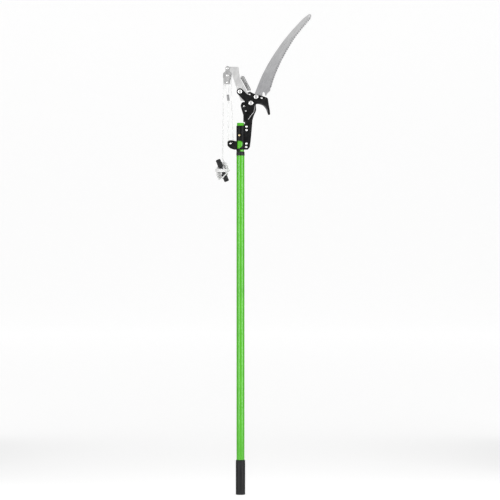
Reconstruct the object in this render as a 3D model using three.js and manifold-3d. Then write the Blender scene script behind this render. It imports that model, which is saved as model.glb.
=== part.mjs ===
// A telescoping pole saw with a rope-worked pruning head.
// Millimetres. +Z runs up the pole from the butt of the hand grip, -Y is the front of the head,
// and the saw and the hook point towards +X. The pole is modelled fully collapsed, the cutter open.
import * as THREE from "three";
import { mergeVertices } from "three/addons/utils/BufferGeometryUtils.js";
import Module from "manifold-3d";

const wasm = await Module();
wasm.setup();

// ---------------------------------------------------------------- driving dimensions

const GAP = 0.3; // between pieces that touch
const ROUND = 16; // facets round a bolt, a rivet or a hole
const ARC_STEP = Math.PI / 8; // the most that one facet of a rounded corner turns

// pole
const OUTER_TUBE = { inner: 12.8, outer: 14, bottom: 3.4, top: 1186 };
const INNER_TUBE = { inner: 11.3, outer: 12.5, bottom: 100, top: 1300.5 };
const GRIP = { outer: 16.5, height: 122, floor: 3 };
const COLLAR_TOP = 1200;
const STOP_GROOVE = { z: 1118, width: 3, depth: 0.35 };

// twist lock inside the lower end of the inner tube
const SPINDLE = { radius: 5, offset: 1.2, bottom: 70 };
const LOCK_RING = { outer: 12.4, bore: 6.6, bottom: 74, top: 93, slit: 3 };

// sheet and plate thicknesses of the head, and the Y of each layer's front face
const SHEET = 1.6;
const JAW = { front: -1.6, back: 1.6 };
const FRONT_CHEEK = { front: JAW.front - GAP - SHEET, back: JAW.front - GAP };
const REAR_CHEEK = { front: JAW.back + GAP, back: JAW.back + GAP + SHEET };
const CUTTER = { front: -4.9, back: -2.1 };
const ARM = { front: -4.9, back: -3.3 };
const LINK = { front: -7.8, back: -5.2 };
const SAW = { front: JAW.back + GAP, back: JAW.back + GAP + 1.3 };

// bracket wrapped round the inner tube
const WRAP = { inner: 12.8, outer: 14.4, bottom: 1207, top: 1290 };
const SKIRT = { bottom: 1200.5, edge: -1.75 }; // the wrap reaches lower left of this edge
const EAR = { inner: 4.5, outer: 6.1, radius: 11 };
const EAR_AXLE = { x: -34.5, z: 1228.5 };

// centres in the XZ plane
const PIVOT = { x: 36.6, z: 1370 };
const LEVER_BOLT = { x: -2.1, z: 1409.8 };
const SAW_BOLT = { x: 54.3, z: 1392 };
const SPRING_STUD = { x: 31.5, z: 1400 };
const SPRING_EYE = { x: -0.96, y: -0.4, z: 1454.4 }; // hole in the arm's folded edge
const SAW_RIVET = { x: 73.9, z: 1387.4 };
const SAW_TIP_HOLE = { x: 240.4, z: 1674.4 };
const ARM_TIP = { x: -45.5, z: 1491.4 };
const BLOCK_AXLE = { x: -46, z: 1466.2 };
const BECKET = { x: -46.6, z: 1442.5 };
const CHEEK_RIVETS = [
  { x: 21, z: 1287.5 },
  { x: 21, z: 1275.3 },
  { x: 20.4, z: 1228 },
  { x: 20, z: 1216.3 },
];
const LOBE_RIVETS = [
  { x: 11.9, z: 1359.4 },
  { x: 18.6, z: 1342.3 },
];
const TUBE_SCREW = { x: -4.2, z: 1257 };
const PIN = { bolt: 4, rivet: 2.6, stud: 2.2, slack: 0.3 };

// pulleys and rope
const ROPE = 1.7; // radius
const TOP_PULLEY = { pitch: 12.8, rim: 14.5, half: 3.1 };
const LOW_PULLEY = { pitch: 8, rim: 9.8, half: 3.1 };
const BLOCK_CHEEK = { inner: 6.4, outer: 7.6 };
const FERRULE = { x: -43.1, top: 1399.5, bottom: 1378, halfWidth: 4.4, halfDepth: 2.9 };

// saw blade
const TOOTH_PITCH = 4.2;
const TOOTH_DEPTH = 2.9;

// pull handle
const HANDLE = { x: -63.4, z: 1134, half: 41.7, end: 8.6, waist: 5.4, tilt: 22.7 };
const HANK = { x: -63.5, z: 1135, wide: 23, tall: 33, front: 9.2, back: 19.6 };
const WRAPS = { outer: 9.6, half: 7 };

// ---------------------------------------------------------------- finishes

const finish = (color, roughness, metalness) =>
  new THREE.MeshStandardMaterial({ color, roughness, metalness });
const GREEN_ENAMEL = () => finish(0x55b52e, 0.35, 0.2);
const BLACK_ENAMEL = () => finish(0x141516, 0.4, 0.1);
const BLACK_PLASTIC = () => finish(0x17181a, 0.55, 0);
const GREY_PLASTIC = () => finish(0x2c2e31, 0.45, 0);
const ZINC = () => finish(0xc4c6c8, 0.35, 0.9);
const SAW_STEEL = () => finish(0xb4b7bb, 0.3, 0.95);
const SPRING_STEEL = () => finish(0x8a8c8e, 0.35, 0.9);
const BRASS = () => finish(0xc9b27a, 0.35, 0.9);
const WHITE_ROPE = () => finish(0xf0f0ee, 0.85, 0);

// ---------------------------------------------------------------- helpers

function toSolid(geometry) {
  const bare = geometry.index ? geometry.toNonIndexed() : geometry.clone();
  bare.deleteAttribute("normal");
  bare.deleteAttribute("uv");
  const merged = mergeVertices(bare, 1e-3);
  const kept = [];
  for (let i = 0; i < merged.index.count; i += 3) {
    const [a, b, c] = [0, 1, 2].map((k) => merged.index.getX(i + k));
    if (a !== b && b !== c && c !== a) kept.push(a, b, c);
  }
  const build = (triangles) =>
    new wasm.Manifold(
      new wasm.Mesh({
        numProp: 3,
        vertProperties: merged.attributes.position.array,
        triVerts: new Uint32Array(triangles),
      }),
    );
  const made = build(kept);
  return made.volume() > 0 ? made : build(kept.reverse());
}

function toGeometry(solid) {
  const made = solid.getMesh();
  const geometry = new THREE.BufferGeometry();
  geometry.setAttribute(
    "position",
    new THREE.BufferAttribute(new Float32Array(made.vertProperties), 3),
  );
  geometry.setIndex(new THREE.BufferAttribute(new Uint32Array(made.triVerts), 1));
  geometry.computeVertexNormals();
  return geometry;
}

const group = new THREE.Group();

function add(name, solid, material) {
  const mesh = new THREE.Mesh(toGeometry(solid), material);
  mesh.name = name;
  group.add(mesh);
}

// A closed outline in the XZ plane. Each corner is [x, z] or [x, z, radius]; a radius that its
// edges have no room for is made smaller.
function outline(corners) {
  const at = (i) => {
    const [x, z] = corners[(i + corners.length) % corners.length];
    return new THREE.Vector2(x, z);
  };
  const points = corners.flatMap(([, , radius], i) => {
    const here = at(i);
    if (!radius) return [here];
    const room = 0.49 * Math.min(at(i - 1).distanceTo(here), at(i + 1).distanceTo(here));
    const back = at(i - 1).sub(here).normalize();
    const ahead = at(i + 1).sub(here).normalize();
    const half = Math.acos(back.dot(ahead)) / 2;
    const reach = Math.min(radius / Math.tan(half), room);
    const inward = back.clone().add(ahead).normalize();
    const centre = here.clone().addScaledVector(inward, reach / Math.cos(half));
    const start = here.clone().addScaledVector(back, reach);
    const turn = (Math.PI - 2 * half) * (back.cross(ahead) > 0 ? -1 : 1);
    const steps = Math.max(1, Math.ceil(Math.abs(turn) / ARC_STEP));
    return Array.from({ length: steps + 1 }, (_, k) =>
      start.clone().rotateAround(centre, (turn * k) / steps),
    );
  });
  return new THREE.Shape(points);
}

function drill(shape, { x, z }, radius) {
  const ring = Array.from({ length: ROUND }, (_, i) => {
    const angle = (2 * Math.PI * i) / ROUND;
    return new THREE.Vector2(x + radius * Math.cos(angle), z + radius * Math.sin(angle));
  });
  shape.holes.push(new THREE.Path(ring));
}

// An XZ outline as a plate between two Y planes.
function plate(shape, front, back, curveSegments = 4) {
  const options = { depth: back - front, bevelEnabled: false, curveSegments };
  return toSolid(
    new THREE.ExtrudeGeometry(shape, options).rotateX(Math.PI / 2).translate(0, back, 0),
  );
}

const profilePoints = (profile) => profile.map(([r, along]) => new THREE.Vector2(r, along));

// A turned piece about the Y axis through (x, z); the profile is [radius, y].
function turnedY({ x, z }, profile, facets = ROUND) {
  return toSolid(new THREE.LatheGeometry(profilePoints(profile), facets).translate(x, 0, z));
}

// A turned piece about the pole axis; the profile is [radius, z].
function turnedZ(profile, facets = 40) {
  return toSolid(new THREE.LatheGeometry(profilePoints(profile), facets).rotateX(Math.PI / 2));
}

const pinY = (centre, radius, front, back, facets) =>
  turnedY(centre, [[0, front], [radius, front], [radius, back], [0, back]], facets);

const tubeZ = (inner, outer, bottom, top, facets) =>
  turnedZ(
    [[inner, bottom], [outer, bottom], [outer, top], [inner, top], [inner, bottom]],
    facets,
  );

// A rope or a wire: a round section swept along points.
function swept(points, radius, steps, facets = 8) {
  const section = new THREE.Shape();
  section.absarc(0, 0, radius, 0, 2 * Math.PI, false);
  const route = new THREE.CatmullRomCurve3(points.map((p) => new THREE.Vector3(...p)));
  const options = { steps, extrudePath: route, curveSegments: facets / 2, bevelEnabled: false };
  return toSolid(new THREE.ExtrudeGeometry(section, options));
}

// A half turn of rope round a pulley, in the XZ plane, from one angle to the other.
function bight({ x, z }, radius, from, to) {
  const points = Array.from({ length: 9 }, (_, i) => {
    const angle = THREE.MathUtils.degToRad(from + ((to - from) * i) / 8);
    return [x + radius * Math.cos(angle), 0, z + radius * Math.sin(angle)];
  });
  return swept(points, ROPE, 14);
}

// A set rivet: a low dome on the front and a flat upset head on the back.
function rivet(centre, front, back, { head = 4, dome = 1.6, tail = 1.2, shank = PIN.rivet } = {}) {
  const low = front - GAP;
  const high = back + GAP;
  return turnedY(centre, [
    [0, low - dome],
    [head * 0.55, low - dome * 0.85],
    [head * 0.88, low - dome * 0.45],
    [head, low],
    [shank, low],
    [shank, high],
    [head * 0.9, high],
    [head * 0.8, high + tail],
    [0, high + tail],
  ]);
}

function hexagon({ x, z }, acrossFlats, front, back) {
  const radius = acrossFlats / Math.sqrt(3);
  const shape = new THREE.CylinderGeometry(radius, radius, back - front, 6);
  return toSolid(shape.translate(x, (front + back) / 2, z));
}

// A bolt whose flanged hexagon head sits in front of `front`; its shank ends at `end`.
function bolt(centre, { front, end, shank, flange, flats }) {
  const seat = front - GAP;
  return pinY(centre, flange, seat - 1.4, seat)
    .add(hexagon(centre, flats, seat - 5, seat - 1.3))
    .add(pinY(centre, shank, seat - 1, end));
}

function nut(centre, back, { flats, height, bore }) {
  const seat = back + GAP;
  return hexagon(centre, flats, seat, seat + height).subtract(
    pinY(centre, bore + PIN.slack, seat - 1, seat + height + 1),
  );
}

// ---------------------------------------------------------------- pole

function addPole() {
  add(
    "hand_grip",
    turnedZ([
      [0, 0],
      [14.6, 0],
      [16, 0.7],
      [GRIP.outer, 2.4],
      [GRIP.outer, GRIP.height - 1.5],
      [GRIP.outer - 0.8, GRIP.height],
      [OUTER_TUBE.outer + GAP, GRIP.height],
      [OUTER_TUBE.outer + GAP, GRIP.floor],
      [0, GRIP.floor],
    ]),
    BLACK_PLASTIC(),
  );
  const { inner, outer, bottom, top } = OUTER_TUBE;
  const { z, width, depth } = STOP_GROOVE;
  add(
    "outer_tube",
    turnedZ([
      [inner, bottom],
      [outer, bottom],
      [outer, z - width / 2],
      [outer - depth, z - width / 4],
      [outer - depth, z + width / 4],
      [outer, z + width / 2],
      [outer, top],
      [inner, top],
      [inner, bottom],
    ]),
    GREEN_ENAMEL(),
  );
  add(
    "top_collar",
    turnedZ([
      [inner, top + GAP],
      [outer + 0.4, top + GAP],
      [outer + 0.5, COLLAR_TOP - 4],
      [outer + 0.1, COLLAR_TOP - 3.4],
      [outer + 0.1, COLLAR_TOP - 1],
      [outer - 0.7, COLLAR_TOP],
      [inner, COLLAR_TOP],
      [inner, top + GAP],
    ]),
    BLACK_PLASTIC(),
  );
  add("inner_tube", innerTube(), GREEN_ENAMEL());
}

function innerTube() {
  const { inner, outer, bottom, top } = INNER_TUBE;
  return tubeZ(inner, outer, bottom, top).subtract(
    pinY(TUBE_SCREW, PIN.stud + PIN.slack, -WRAP.outer - 1, -inner + 4),
  );
}

function addTwistLock() {
  const { radius, offset, bottom } = SPINDLE;
  const spindle = tubeZ(2 + PIN.slack, radius, bottom, INNER_TUBE.bottom - 3, ROUND);
  const plug = turnedZ([
    [0, INNER_TUBE.bottom - 4],
    [OUTER_TUBE.inner - 0.5, INNER_TUBE.bottom - 4],
    [OUTER_TUBE.inner - 0.5, INNER_TUBE.bottom - GAP],
    [INNER_TUBE.inner - GAP, INNER_TUBE.bottom - GAP],
    [INNER_TUBE.inner - GAP, INNER_TUBE.bottom + 24],
    [INNER_TUBE.inner - 1.2, INNER_TUBE.bottom + 26],
    [0, INNER_TUBE.bottom + 26],
  ]);
  add("cam_plug", plug.add(spindle.translate([offset, 0, 0])), GREY_PLASTIC());
  const screw = turnedZ(
    [[0, bottom - 4], [7, bottom - 4], [7.6, bottom - 3], [7.6, bottom - GAP],
      [2, bottom - GAP], [2, bottom + 18], [0, bottom + 18]],
    ROUND,
  );
  add("cam_screw", screw.translate([offset, 0, 0]), ZINC());
  const slit = toSolid(
    new THREE.BoxGeometry(LOCK_RING.outer * 2, LOCK_RING.slit, LOCK_RING.top).translate(
      -LOCK_RING.outer,
      0,
      LOCK_RING.top / 2 + LOCK_RING.bottom / 2,
    ),
  );
  add(
    "lock_ring",
    tubeZ(LOCK_RING.bore, LOCK_RING.outer, LOCK_RING.bottom, LOCK_RING.top).subtract(slit),
    GREY_PLASTIC(),
  );
}

// ---------------------------------------------------------------- head

// Side of the head from its foot up to the lobe, left of the pole side and back down the right.
const BODY_RIGHT = [
  [26, 1207, 4],
  [33, 1216.5, 4],
  [36, 1240],
  [39.2, 1275],
  [42, 1310],
  [45.9, 1324, 8],
  [52, 1337.5, 8],
];
const LOBE_LEFT = [
  [16, 1374.5, 5],
  [4, 1372.5, 8],
  [0.2, 1360, 8],
  [4.4, 1345.5, 12],
  [9.8, 1328, 10],
  [9.8, 1303.5],
];

function clampBracket() {
  const { inner, outer, bottom, top } = WRAP;
  const mouth = toSolid(
    new THREE.BoxGeometry(outer * 2, 2 * REAR_CHEEK.front, top * 2).translate(outer, 0, top),
  );
  const frontShape = outline([
    [12, bottom],
    ...BODY_RIGHT.slice(0, 4),
    [40.6, 1293.5, 2],
    [12, 1297.5, 3],
  ]);
  const rearShape = outline([
    [12, bottom],
    ...BODY_RIGHT,
    [52.6, 1356, 8],
    [50.6, 1383.2, 13],
    [22.4, 1383.2, 13],
    ...LOBE_LEFT,
    [15, 1303.5],
    [15, 1290.3],
    [12, 1290.3],
  ]);
  CHEEK_RIVETS.forEach((at) => {
    drill(frontShape, at, PIN.rivet + PIN.slack);
    drill(rearShape, at, PIN.rivet + PIN.slack);
  });
  LOBE_RIVETS.forEach((at) => drill(rearShape, at, PIN.rivet + PIN.slack));
  drill(rearShape, PIVOT, PIN.bolt + PIN.slack);

  const ear = outline([
    [-12, 1236],
    [EAR_AXLE.x + 1, EAR_AXLE.z + EAR.radius + 0.6, 6],
    [EAR_AXLE.x - EAR.radius - 0.4, EAR_AXLE.z + EAR.radius - 2, 9],
    [EAR_AXLE.x - EAR.radius, EAR_AXLE.z - 8, 8],
    [EAR_AXLE.x - 1, bottom + 4.5, 10],
    [-22, bottom, 8],
    [-12, bottom],
  ]);
  drill(ear, EAR_AXLE, PIN.rivet + PIN.slack);
  const windowShape = outline([
    [-12.3, 1237.2],
    [2, 1237.2, 5],
    [8.8, 1232, 6],
    [7, 1219, 9],
    [-3, 1211, 9],
    [-12.3, 1209.6],
  ]);
  const skirt = tubeZ(inner, outer, SKIRT.bottom, bottom + 1).subtract(
    toSolid(
      new THREE.BoxGeometry(outer * 2, outer * 3, top).translate(outer + SKIRT.edge, 0, bottom),
    ),
  );
  return tubeZ(inner, outer, bottom, top)
    .add(skirt)
    .subtract(mouth)
    .subtract(plate(windowShape, -outer - 1, -EAR.outer - 0.5))
    .subtract(plate(windowShape, EAR.outer + 0.5, outer + 1))
    .subtract(pinY(TUBE_SCREW, PIN.stud + PIN.slack, -outer - 1, -inner + 4))
    .add(plate(frontShape, FRONT_CHEEK.front, FRONT_CHEEK.back))
    .add(plate(rearShape, REAR_CHEEK.front, REAR_CHEEK.back))
    .add(plate(ear, -EAR.outer, -EAR.inner))
    .add(plate(ear, EAR.inner, EAR.outer))
    .subtract(pinZ(inner, SKIRT.bottom - 1, 1302));
}

const pinZ = (radius, bottom, top) =>
  turnedZ([[0, bottom], [radius, bottom], [radius, top], [0, top]]);

// The fixed plate: shank in the bracket, pivot eye, and the hook with its ground inner edge.
function jawShape() {
  const shape = outline([
    [15, 1207],
    ...BODY_RIGHT,
    [55, 1345, 10],
    [53.8, 1366.8, 3],
    [66, 1366, 20],
    [79, 1361.5, 18],
    [88.5, 1350, 30],
    [97.3, 1328, 2],
    [104.2, 1329.5, 3],
    [102.8, 1344, 30],
    [98.6, 1368, 30],
    [95.6, 1388.4, 8],
    [75, 1395.2, 60],
    [47, 1402.4, 60],
    [32, 1410.5, 8],
    [20.6, 1404, 7],
    [23.6, 1388, 10],
    [21, 1376, 6],
    ...LOBE_LEFT,
    [15, 1303.5],
  ]);
  CHEEK_RIVETS.concat(LOBE_RIVETS).forEach((at) => drill(shape, at, PIN.rivet + PIN.slack));
  [PIVOT, SAW_BOLT].forEach((at) => drill(shape, at, PIN.bolt + PIN.slack));
  [SPRING_STUD, SAW_RIVET].forEach((at) => drill(shape, at, PIN.stud + PIN.slack));
  return shape;
}

// The moving blade: an eye round the pivot and a belly with a curved cutting edge.
function cutterShape() {
  const shape = outline([
    [53.7, 1369, 8],
    [50.2, 1352, 20],
    [48, 1338, 20],
    [38, 1327, 40],
    [26.2, 1309.5, 12],
    [22.6, 1305.5, 2],
    [21.6, 1318, 20],
    [24.4, 1342, 30],
    [20.4, 1362, 12],
    [20, 1384, 13],
    [45, 1388, 13],
  ]);
  drill(shape, PIVOT, PIN.bolt + PIN.slack);
  return shape;
}

function linkShape() {
  const along = new THREE.Vector2(LEVER_BOLT.x - PIVOT.x, LEVER_BOLT.z - PIVOT.z).normalize();
  const across = new THREE.Vector2(-along.y, along.x);
  const corner = (from, reach, side) => [
    from.x + along.x * reach + across.x * side,
    from.z + along.y * reach + across.y * side,
  ];
  const shape = outline([
    [...corner(LEVER_BOLT, 11, 11.2), 10.9],
    [...corner(LEVER_BOLT, 11, -11.2), 10.9],
    [...corner(PIVOT, -12.8, -12.8), 12.4],
    [...corner(PIVOT, -12.8, 12.8), 12.4],
  ]);
  drill(shape, PIVOT, PIN.bolt + PIN.slack);
  drill(shape, LEVER_BOLT, 3.4 + PIN.slack);
  return shape;
}

// The long arm that the rope pulls: a flat web, an edge folded back, and a boss at its tip.
function leverArm() {
  const web = outline([
    [ARM_TIP.x - 6, ARM_TIP.z + 5.6, 5.4],
    [-7, ARM_TIP.z + 5.2, 4],
    [-5, 1484, 5],
    [-2.4, 1459, 12],
    [26.4, 1403, 3],
    [23.5, 1391, 4],
    [17, 1377.6, 3],
    [0.6, 1377.6, 2.5],
    [-31.6, 1475, 8],
    [ARM_TIP.x - 5.2, ARM_TIP.z - 7, 5.4],
  ]);
  drill(web, LEVER_BOLT, 3.4 + PIN.slack);
  const fold = outline([
    [-2.1, 1458.3],
    [24.1, 1407.6],
    [22.7, 1406.9],
    [-3.5, 1457.6],
  ]);
  const boss = pinY(ARM_TIP, 5, -BLOCK_CHEEK.inner + GAP, BLOCK_CHEEK.inner - GAP);
  const eye = toSolid(
    new THREE.CylinderGeometry(1.5, 1.5, 6, 12)
      .rotateZ(Math.PI / 2)
      .rotateY(-THREE.MathUtils.degToRad(27.3))
      .translate(SPRING_EYE.x, SPRING_EYE.y, SPRING_EYE.z),
  );
  return plate(web, ARM.front, ARM.back)
    .add(plate(fold, ARM.back - 0.8, 2.6))
    .subtract(eye)
    .add(boss)
    .subtract(pinY(ARM_TIP, 3 + PIN.slack, -9, 9));
}

// A curved pull-stroke saw blade; its teeth lean towards the pole.
function sawShape() {
  const back = [
    [53.9, 1414],
    [75.3, 1466.5],
    [109, 1528],
    [158, 1598],
    [212.8, 1659.5],
    [236.6, 1679.6],
  ].map(([x, z]) => new THREE.Vector2(x, z));
  const edge = new THREE.SplineCurve(
    [
      [105, 1423],
      [121, 1471],
      [147, 1528],
      [190, 1600],
      [244.6, 1667],
    ].map(([x, z]) => new THREE.Vector2(x, z)),
  );
  const count = Math.round(edge.getLength() / TOOTH_PITCH);
  const shape = new THREE.Shape();
  shape.moveTo(76, 1382.4);
  shape.lineTo(51, 1382.4);
  shape.quadraticCurveTo(43.4, 1384.4, 45, 1391);
  shape.lineTo(back[0].x, back[0].y);
  shape.splineThru(back.slice(1));
  shape.quadraticCurveTo(244.4, 1685.4, 247.4, 1678.6);
  shape.quadraticCurveTo(249.4, 1672.4, edge.getPointAt(1).x, edge.getPointAt(1).y);
  for (let i = count; i > 0; i -= 1) {
    const tip = (i - 0.62) / count;
    const root = (i - 1) / count;
    const tangent = edge.getTangentAt(tip);
    const point = edge.getPointAt(tip);
    shape.lineTo(point.x + tangent.y * TOOTH_DEPTH, point.y - tangent.x * TOOTH_DEPTH);
    shape.lineTo(edge.getPointAt(root).x, edge.getPointAt(root).y);
  }
  shape.lineTo(104.4, 1413.4);
  shape.lineTo(92.4, 1402);
  shape.lineTo(90.6, 1396.4);
  shape.lineTo(86.4, 1396.4);
  shape.lineTo(85.2, 1404.4);
  shape.quadraticCurveTo(81, 1413, 77, 1404.4);
  shape.lineTo(77, 1384);
  drill(shape, SAW_BOLT, PIN.bolt + PIN.slack);
  drill(shape, SAW_RIVET, PIN.stud + PIN.slack);
  drill(shape, SAW_TIP_HOLE, 1.8);
  return shape;
}

function addHead() {
  add("clamp_bracket", clampBracket(), BLACK_ENAMEL());
  add("jaw_plate", plate(jawShape(), JAW.front, JAW.back), BLACK_ENAMEL());
  add("saw_blade", plate(sawShape(), SAW.front, SAW.back), SAW_STEEL());
  CHEEK_RIVETS.forEach((at, i) =>
    add(`cheek_rivet_${i + 1}`, rivet(at, FRONT_CHEEK.front, REAR_CHEEK.back), ZINC()),
  );
  LOBE_RIVETS.forEach((at, i) =>
    add(
      `lobe_rivet_${i + 1}`,
      rivet(at, JAW.front + GAP, REAR_CHEEK.back, { dome: 0.25, head: PIN.rivet }),
      ZINC(),
    ),
  );
  add("spring_stud", rivet(SPRING_STUD, JAW.front, JAW.back + 5.4, {
    head: 3.1, dome: 1.2, shank: PIN.stud }), ZINC());
  add("saw_rivet", rivet(SAW_RIVET, JAW.front, SAW.back, {
    head: 3.3, dome: 1.2, shank: PIN.stud }), ZINC());
  add("tube_screw", tubeScrew(), BRASS());

  const saw = { front: JAW.front, end: SAW.back + 8.2, shank: PIN.bolt, flange: 7.4, flats: 10 };
  add("saw_bolt", bolt(SAW_BOLT, saw), ZINC());
  add("saw_nut", nut(SAW_BOLT, SAW.back, { flats: 13, height: 6, bore: PIN.bolt }), ZINC());
  const pivot = { front: LINK.front, end: REAR_CHEEK.back + 8.2, shank: PIN.bolt, flange: 7.5,
    flats: 10 };
  add("pivot_bolt", bolt(PIVOT, pivot), ZINC());
  add("pivot_nut", nut(PIVOT, REAR_CHEEK.back, { flats: 13, height: 6, bore: PIN.bolt }), ZINC());
}

function tubeScrew() {
  const seat = -WRAP.outer - 0.1;
  return turnedY(TUBE_SCREW, [
    [0, seat - 2],
    [2, seat - 1.9],
    [3.2, seat - 1.1],
    [3.5, seat],
    [PIN.stud, seat],
    [PIN.stud, seat + 6.4],
    [0, seat + 6.4],
  ]);
}

function addCutter() {
  add("cutter_blade", plate(cutterShape(), CUTTER.front, CUTTER.back), BLACK_ENAMEL());
  add("link_plate", plate(linkShape(), LINK.front, LINK.back), BLACK_ENAMEL());
  add("lever_arm", leverArm(), ZINC());
  const lever = { front: LINK.front, end: 2.2, shank: 3.4, flange: 7, flats: 9 };
  add("lever_bolt", bolt(LEVER_BOLT, lever), ZINC());
  add("lever_nut", nut(LEVER_BOLT, ARM.back, { flats: 10, height: 4.6, bore: 3.4 }), ZINC());
}

// A close-wound tension spring as its outer barrel: the hook at its top goes through the arm's
// folded edge, and the hook at its foot, drawn by itself because it turns on its stud, is a ring.
function addReturnSpring() {
  const y = 1.2;
  const top = new THREE.Vector3(6.4, y, 1461.4);
  const foot = new THREE.Vector3(31, y, 1415.2);
  const tilt = Math.atan2(foot.x - top.x, top.z - foot.z);
  const barrel = toSolid(
    new THREE.CylinderGeometry(6.8, 6.8, top.distanceTo(foot), 16)
      .rotateX(Math.PI / 2)
      .rotateY(-tilt)
      .translate((top.x + foot.x) / 2, y, (top.z + foot.z) / 2),
  );
  const upper = swept(
    [
      [7.3, y, 1459.4],
      [5.2, 1.1, 1464],
      [2.4, 0.6, 1463.2],
      [1.4, -0.1, 1457.5],
      [SPRING_EYE.x, SPRING_EYE.y, SPRING_EYE.z],
      [-4.6, SPRING_EYE.y, 1452.5],
    ],
    0.9,
    14,
    6,
  );
  add("return_spring", barrel.add(upper), SPRING_STEEL());
  const ring = [20, -50, -120, -190, -235].map((degrees) => {
    const angle = THREE.MathUtils.degToRad(degrees);
    const [x, z] = [3.6 * Math.cos(angle), 3.6 * Math.sin(angle)];
    return [SPRING_STUD.x + x, 4.4, SPRING_STUD.z + z];
  });
  const lower = swept([[31.17, y, 1414.89], [32.4, 2.2, 1412.4], [34.6, 3.8, 1406.8], ...ring],
    0.9, 18, 6);
  add("spring_hook", lower, SPRING_STEEL());
}

// ---------------------------------------------------------------- pulleys, block and rope

function pulley(centre, { pitch, rim, half }, bore) {
  const groove = pitch - ROPE - GAP;
  const mouth = ROPE + 0.8;
  return turnedY(
    centre,
    [
      [bore, -half],
      [rim, -half],
      [rim, -mouth - 0.4],
      [groove, -mouth * 0.75],
      [groove, mouth * 0.75],
      [rim, mouth + 0.4],
      [rim, half],
      [bore, half],
      [bore, -half],
    ],
    28,
  );
}

function blockCheek(right, front, back) {
  const shape = outline([
    [ARM_TIP.x - 6.6, ARM_TIP.z + 8, 6.4],
    [ARM_TIP.x + 6.6, ARM_TIP.z + 8, 6.4],
    [-39, 1481, 5],
    [right + 1.8, 1474, 5],
    [right, 1466, 8],
    [right + 1.6, 1457.5, 5],
    [right - 4, 1452, 4],
    [right - 4, 1436.6, 2],
    [-57.4, 1436.6, 2],
    [-58, 1453, 4],
    [-61.4, 1459, 5],
    [-61, 1474, 5],
    [-53, 1481, 5],
  ]);
  drill(shape, BLOCK_AXLE, PIN.rivet + PIN.slack);
  drill(shape, BECKET, PIN.stud + PIN.slack);
  drill(shape, ARM_TIP, 3 + PIN.slack);
  return plate(shape, front, back);
}

function blockPin(centre, shank, head) {
  const { outer } = BLOCK_CHEEK;
  return rivet(centre, -outer, outer, { head, dome: 1, tail: 1, shank });
}

function addBlock() {
  const { inner, outer } = BLOCK_CHEEK;
  add("block_front_cheek", blockCheek(-34.6, -outer, -inner), ZINC());
  add("block_back_cheek", blockCheek(-32.4, inner, outer), ZINC());
  add("block_axle", blockPin(BLOCK_AXLE, PIN.rivet, 3.8), ZINC());
  add("block_pin", blockPin(ARM_TIP, 3, 4.2), ZINC());
  add("becket_pin", blockPin(BECKET, PIN.stud, 3), ZINC());
  add("top_pulley", pulley(BLOCK_AXLE, TOP_PULLEY, PIN.rivet + PIN.slack), GREY_PLASTIC());
  add("rope_over", bight(BLOCK_AXLE, TOP_PULLEY.pitch, 0, 180), WHITE_ROPE());
  add("becket_loop", becketLoop(), WHITE_ROPE());
  const sleeve = toSolid(
    new THREE.CylinderGeometry(1, 1, FERRULE.top - FERRULE.bottom, 16)
      .scale(FERRULE.halfWidth, 1, FERRULE.halfDepth)
      .rotateX(Math.PI / 2)
      .rotateY(-0.12)
      .translate(FERRULE.x, 0, (FERRULE.top + FERRULE.bottom) / 2),
  );
  add("ferrule", sleeve, SPRING_STEEL());
}

// The rope's eye over the becket pin, its two legs meeting at the ferrule.
function becketLoop() {
  const { x, z } = BECKET;
  const foot = FERRULE.top + 1.4;
  return swept(
    [
      [FERRULE.x - 3.2, 0, foot],
      [x - 6, 0, 1421],
      [x - 6.6, 0, z - 4],
      [x - 3, 0, z + 4.2],
      [x + 3, 0, z + 4.2],
      [x + 6.4, 0, z - 4],
      [x + 6.6, 0, 1423],
      [FERRULE.x + 1.4, 0, foot],
    ],
    ROPE,
    36,
  );
}

function addTackle() {
  add("ear_axle", rivet(EAR_AXLE, -EAR.outer, EAR.outer, { head: 3.4, dome: 1.1 }), ZINC());
  add("lower_pulley", pulley(EAR_AXLE, LOW_PULLEY, PIN.rivet + PIN.slack), GREY_PLASTIC());
  add("rope_under", bight(EAR_AXLE, LOW_PULLEY.pitch, 180, 360), WHITE_ROPE());
  const left = EAR_AXLE.x - LOW_PULLEY.pitch;
  const right = EAR_AXLE.x + LOW_PULLEY.pitch;
  const low = EAR_AXLE.z + GAP;
  const strandA = [[left, 0, low], [left, 0, 1300], [FERRULE.x + 1, 0, FERRULE.bottom - 0.9]];
  add("rope_standing", swept(strandA, ROPE, 3), WHITE_ROPE());
  const topRight = BLOCK_AXLE.x + TOP_PULLEY.pitch;
  const strandB = [[right, 0, low], [(right + topRight) / 2, 0, 1348],
    [topRight, 0, BLOCK_AXLE.z - GAP]];
  add("rope_hauling", swept(strandB, ROPE, 4), WHITE_ROPE());
}

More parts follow.
